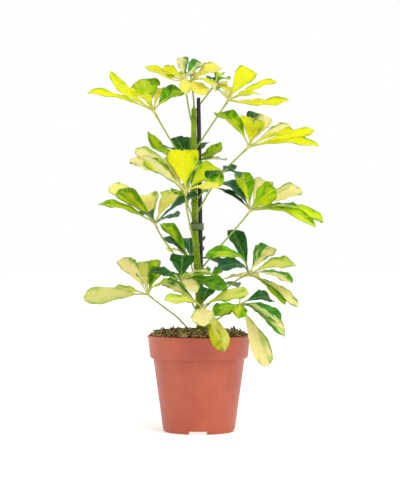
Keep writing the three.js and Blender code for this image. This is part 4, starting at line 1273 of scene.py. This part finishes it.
# %% A point of a leaflet
WAVES, WAVE_HEIGHT, WAVE_SHIFT = 2.6, 0.13, 1.7
FOLD_ROUNDING = 0.5
TIP_START, TIP_ROUNDING, TIP_POWER, NOTCH_WIDTH = 0.72, 0.085, 2.5, 0.22
BLADE_START_LENGTH = 0.25
LOBE_DEPTH, LOBES = 0.12, 7
RUFFLE_HEIGHT, RUFFLES = 0.5, 6.5
DENT_DEPTH, DENT_SIZE = 0.7, 8
SKIN_HEIGHT, SKIN_THINNING = 0.24, 0.1
STALK_ROUNDNESS = 0.95
RIB_HALF_WIDTH, RIB_GROOVE, RIB_KEEL = 0.7, 0.18, 0.4


def leaflet_point(line, side, shape, across, share, upper):
    """A point of a leaflet's skin in mm, its share of the length and the half width there."""
    a, b, c, d = line
    width, fold_angle, crisp, notch, number, seed = shape
    wrap = abs(across)
    late = max(0, (share - TIP_START) / (1 - TIP_START))
    notched = notch * math.exp(-(across / NOTCH_WIDTH) ** 2)
    share -= late ** 2 * (TIP_ROUNDING * wrap ** TIP_POWER + notched)
    t, s = share, 1 - share
    middle = a * s ** 3 + b * 3 * s * s * t + c * 3 * s * t * t + d * t ** 3
    tangent = (b - a) * s * s + (c - b) * 2 * s * t + (d - c) * t * t
    normal = side.cross(tangent).normalized()
    blade = min(1, max(0, (share - STALK_SHARE) / BLADE_START_LENGTH))

    lobes = noise.noise(Vector((share * LOBES, math.copysign(3, across), seed)))
    half = half_width(share, width) * (1 + blade * crisp * LOBE_DEPTH * lobes)
    wave = math.sin(2 * math.pi * WAVES * share + WAVE_SHIFT * number + across)
    fold = math.sqrt((wrap * half) ** 2 + FOLD_ROUNDING) - math.sqrt(FOLD_ROUNDING)
    lift = fold * (math.sin(fold_angle) + WAVE_HEIGHT * wave)
    ruffle = math.sin(2 * math.pi * RUFFLES * share + 2 * seed + math.copysign(1.3, across))
    lift += blade * crisp * RUFFLE_HEIGHT * ruffle * wrap ** 3
    dents = noise.noise(Vector((share * (d - a).length, across * half, 0)) / DENT_SIZE
                        + Vector((0, 0, seed)))
    lift += blade * DENT_DEPTH * dents

    round_stalk = STALK_ROUNDNESS * math.sqrt(max(0, 1 - wrap ** 2)) * (1 - blade)
    thickness = max(SKIN_HEIGHT - SKIN_THINNING * wrap, round_stalk)
    rib = math.exp(-(across * half / RIB_HALF_WIDTH) ** 2) * blade
    if upper:
        lift += thickness - RIB_GROOVE * rib
    else:
        lift -= thickness + RIB_KEEL * rib * (1 - share)
    return middle + side * across * half * math.cos(fold_angle) + normal * lift, share, half


# %% [markdown]
# A leaflet is made as two grids, its upper and its lower skin. Each point of a grid is laid
# where the function says and is given its coordinates for the finish, and the two rims are
# bridged. That gives a true thin edge and one closed shell.

# %% A leaflet
COLUMNS, ROWS = 16, 44
VEIN_SLANT = 0.9
LEANS = (1, 0.7, 0.9, -0.5)
CRISP_KINDS, CRISP, SMOOTH = ("cream", "edged"), 1.0, 0.4
WIDE_BLADE, WIDE_NOTCH, SMALL_NOTCH, SMALL_NOTCH_EVERY = 36, 0.05, 0.03, 5
PATTERN_STEP = 37.0


def leaflet(bm, hub, faces, row, number, seed):
    """Adds one leaflet to a leaf."""
    line, side = leaflet_line(hub, faces, row)
    width, fold_angle, kind = row[3], math.radians(row[7]), row[8]
    centre, margin, green, lean = MARKINGS[kind]
    centre, margin = linear(centre), linear(margin)
    lean *= math.copysign(1, row[0]) * LEANS[seed % len(LEANS)]
    crisp = CRISP if kind in CRISP_KINDS else SMOOTH
    notch = SMALL_NOTCH if (seed * 7) % SMALL_NOTCH_EVERY == 0 else 0
    if width > WIDE_BLADE:
        notch = WIDE_NOTCH
    shape = (width, fold_angle, crisp, notch, number, seed)
    length = (line[3] - line[0]).length
    vectors, colours = bm.verts.layers.float_vector, bm.verts.layers.float_color

    rims = []
    for upper in (True, False):
        made = bmesh.ops.create_grid(bm, x_segments=COLUMNS, y_segments=ROWS, size=1)["verts"]
        for vert in made:
            across, share = vert.co.x, max(0, (vert.co.y + 1) / 2)
            point, share, half = leaflet_point(line, side, shape, across, share, upper)
            vert.co = point * MM + pot_axis
            vert[vectors["blade"]] = (across, share, 0 if upper else 1)
            vert[vectors["vein"]] = (share * length - VEIN_SLANT * abs(across) * half,
                                     across * half, seed * PATTERN_STEP)
            vert[vectors["marks"]] = (green, lean, 0)
            vert[colours["centre"]] = centre
            vert[colours["margin"]] = margin
        if not upper:
            bmesh.ops.reverse_faces(bm, faces=list({face for vert in made
                                                    for face in vert.link_faces}))
        rims += {edge for vert in made for edge in vert.link_edges if edge.is_boundary}
    bmesh.ops.bridge_loops(bm, edges=rims)


# %% [markdown]
# ### Building the leaves
# Each leaf is one piece, because its stalk, hub and leaflets grow together. The stalk is
# swept with a swollen foot, where it clasps the stem, and a swollen end under the hub.

# %% Stalk and hub
STALK_RADIUS, STALK_POINTS, STALK_SIDES = 0.95, 48, 14
STALK_FOOT_SWELL, STALK_FOOT_LENGTH = 0.9, 0.12
STALK_END_SWELL, STALK_END_LENGTH = 0.6, 0.07
HUB_RADIUS = 2.1


def stalk_and_hub(bm, hub, stalk):
    """Adds the stalk and the hub of a leaf, which both have its second finish."""
    line = smooth_line([*stalk, hub], STALK_POINTS)
    radii = []
    for i in range(STALK_POINTS + 1):
        share = i / STALK_POINTS
        foot = STALK_FOOT_SWELL * math.exp(-(share / STALK_FOOT_LENGTH) ** 2)
        end = STALK_END_SWELL * math.exp(-((1 - share) / STALK_END_LENGTH) ** 2)
        radii.append(STALK_RADIUS + foot + end)
    swept(bm, line, radii, STALK_SIDES, material=1)
    nub = bmesh.ops.create_icosphere(bm, subdivisions=3, radius=HUB_RADIUS * MM,
                                     matrix=Matrix.Translation(hub * MM + pot_axis))["verts"]
    for face in {face for vert in nub for face in vert.link_faces}:
        face.material_index = 1
    root, reach = line[0] * MM + pot_axis, (hub - line[0]).length * MM
    along = bm.verts.layers.float["along"]
    for vert in bm.verts:
        vert[along] = (vert.co - root).length / reach


# %% The leaves
seed = 0
for name, leaf in LEAVES.items():
    bm = bmesh.new()
    for layer in ("blade", "vein", "marks"):
        bm.verts.layers.float_vector.new(layer)
    for layer in ("centre", "margin"):
        bm.verts.layers.float_color.new(layer)
    bm.verts.layers.float.new("along")
    hub, faces = Vector(leaf["hub"]), Vector(leaf["faces"]).normalized()
    stalk_and_hub(bm, hub, leaf["stalk"])
    for number, row in enumerate(leaf["leaflets"]):
        seed += 1
        leaflet(bm, hub, faces, row, number, seed)
    piece(name.replace("leaf_", "umbrella_leaf_"), bm, [tissue, stalk_green], name)
print("there are", seed, "leaflets in all")

# %% [markdown]
# ## Studio
# The plant stands on plain white paper in a bright, even room, so that the leaves keep
# their colours and the paper its white. The paper glows a little all over, and much more
# under the pot. The glow is painted light. It fills the pot's shadow, so that the shadow
# stays faint, and it fills the shade under the pot, so that the notches of its foot show
# white. One large soft light from the upper right gives the pot its round form. The camera
# stands level with the middle of the plant, 1.8 m away.

# %% The paper
# painted light: the paper's glow all over, and the stronger glow under the pot
PAPER_RADIUS, PAPER_PAINTED_LIGHT, PAINTED_LIGHT_UNDER_POT = 12, 0.22, 0.85


def plain_paper(tree):
    """Matt white paper with clouds of 17 mm, faint enough to look plain."""
    place = add(tree, "TexCoord", {}, {})
    grain = add(tree, "TexNoise", {}, {"Vector": (place, "Object"), "Scale": cells(16.7),
                                       "Detail": 3})
    shade = add(tree, "ValToRGB", {}, {"Fac": grain})
    shade.color_ramp.elements[0].color = linear("#F4F4F3")
    shade.color_ramp.elements[1].color = linear("#FAFAFA")
    bump = add(tree, "Bump", {}, {"Strength": 0.05, "Distance": 0.2 * MM, "Height": grain})
    # painted light: inside the foot ring the paper glows much brighter, which fills the shade
    # under the pot and shows white in the notches
    out = add(tree, "VectorMath", {"operation": "DISTANCE"}, {0: (place, "Object"),
                                                             1: pot_axis})
    glow = add(tree, "MapRange", {}, {"Value": (out, "Value"),
                                      "From Min": (FOOT_RADIUS - FOOT_RING_WIDTH) * MM,
                                      "From Max": FOOT_RADIUS * MM,
                                      "To Min": PAINTED_LIGHT_UNDER_POT, "To Max": PAPER_PAINTED_LIGHT})
    return add(tree, "BsdfPrincipled", {}, {"Base Color": shade, "Roughness": 0.8, "IOR": 1.45,
                                            "Emission Color": shade,
                                            "Emission Strength": glow, "Normal": bump})


paper = finish("white_studio_paper", plain_paper)
bm = bmesh.new()
bmesh.ops.create_circle(bm, cap_ends=True, segments=64, radius=PAPER_RADIUS)
mesh = bpy.data.meshes.new("studio_paper")
bm.to_mesh(mesh)
bm.free()
mesh.materials.append(paper)
floor = bpy.data.objects.new("studio_paper", mesh)
bpy.context.scene.collection.objects.link(floor)

# %% Light
ROOM_STRENGTH, KEY_STRENGTH = 1.0, 1.3
KEY_ANGLE, KEY_FROM = math.radians(35), Vector((0.55, -0.9, 1.1))

scene = bpy.context.scene
world = bpy.data.worlds.new("bright_room")
scene.world = world
world.use_nodes = True
world.node_tree.nodes["Background"].inputs["Color"].default_value = linear("#FFFFFF")
world.node_tree.nodes["Background"].inputs["Strength"].default_value = ROOM_STRENGTH
scene.view_settings.view_transform = "Standard"

lamp = bpy.data.lights.new("soft_key", "SUN")
lamp.energy = KEY_STRENGTH
lamp.angle = KEY_ANGLE
lamp.color = (1.0, 0.985, 0.96)
key = bpy.data.objects.new("soft_key", lamp)
key.rotation_euler = KEY_FROM.to_track_quat("Z", "Y").to_euler()
scene.collection.objects.link(key)
print("the key light comes from", [round(part, 2) for part in KEY_FROM])

# %% Camera
CAMERA_DISTANCE, CAMERA_HEIGHT, CAMERA_ASIDE = 1.8, 0.208, 0.00115
VIEW_HEIGHT, SENSOR = 0.575, 24

camera_data = bpy.data.cameras.new("camera")
camera_data.sensor_fit = "VERTICAL"
camera_data.sensor_height = SENSOR
camera_data.lens = SENSOR * CAMERA_DISTANCE / VIEW_HEIGHT
camera_data.clip_end = 50
camera = bpy.data.objects.new("camera", camera_data)
camera.location = (pot_axis.x + CAMERA_ASIDE, pot_axis.y - CAMERA_DISTANCE, CAMERA_HEIGHT)
camera.rotation_euler = (math.pi / 2, 0, 0)
scene.collection.objects.link(camera)
scene.camera = camera
print("the lens is", round(camera_data.lens, 1), "mm")
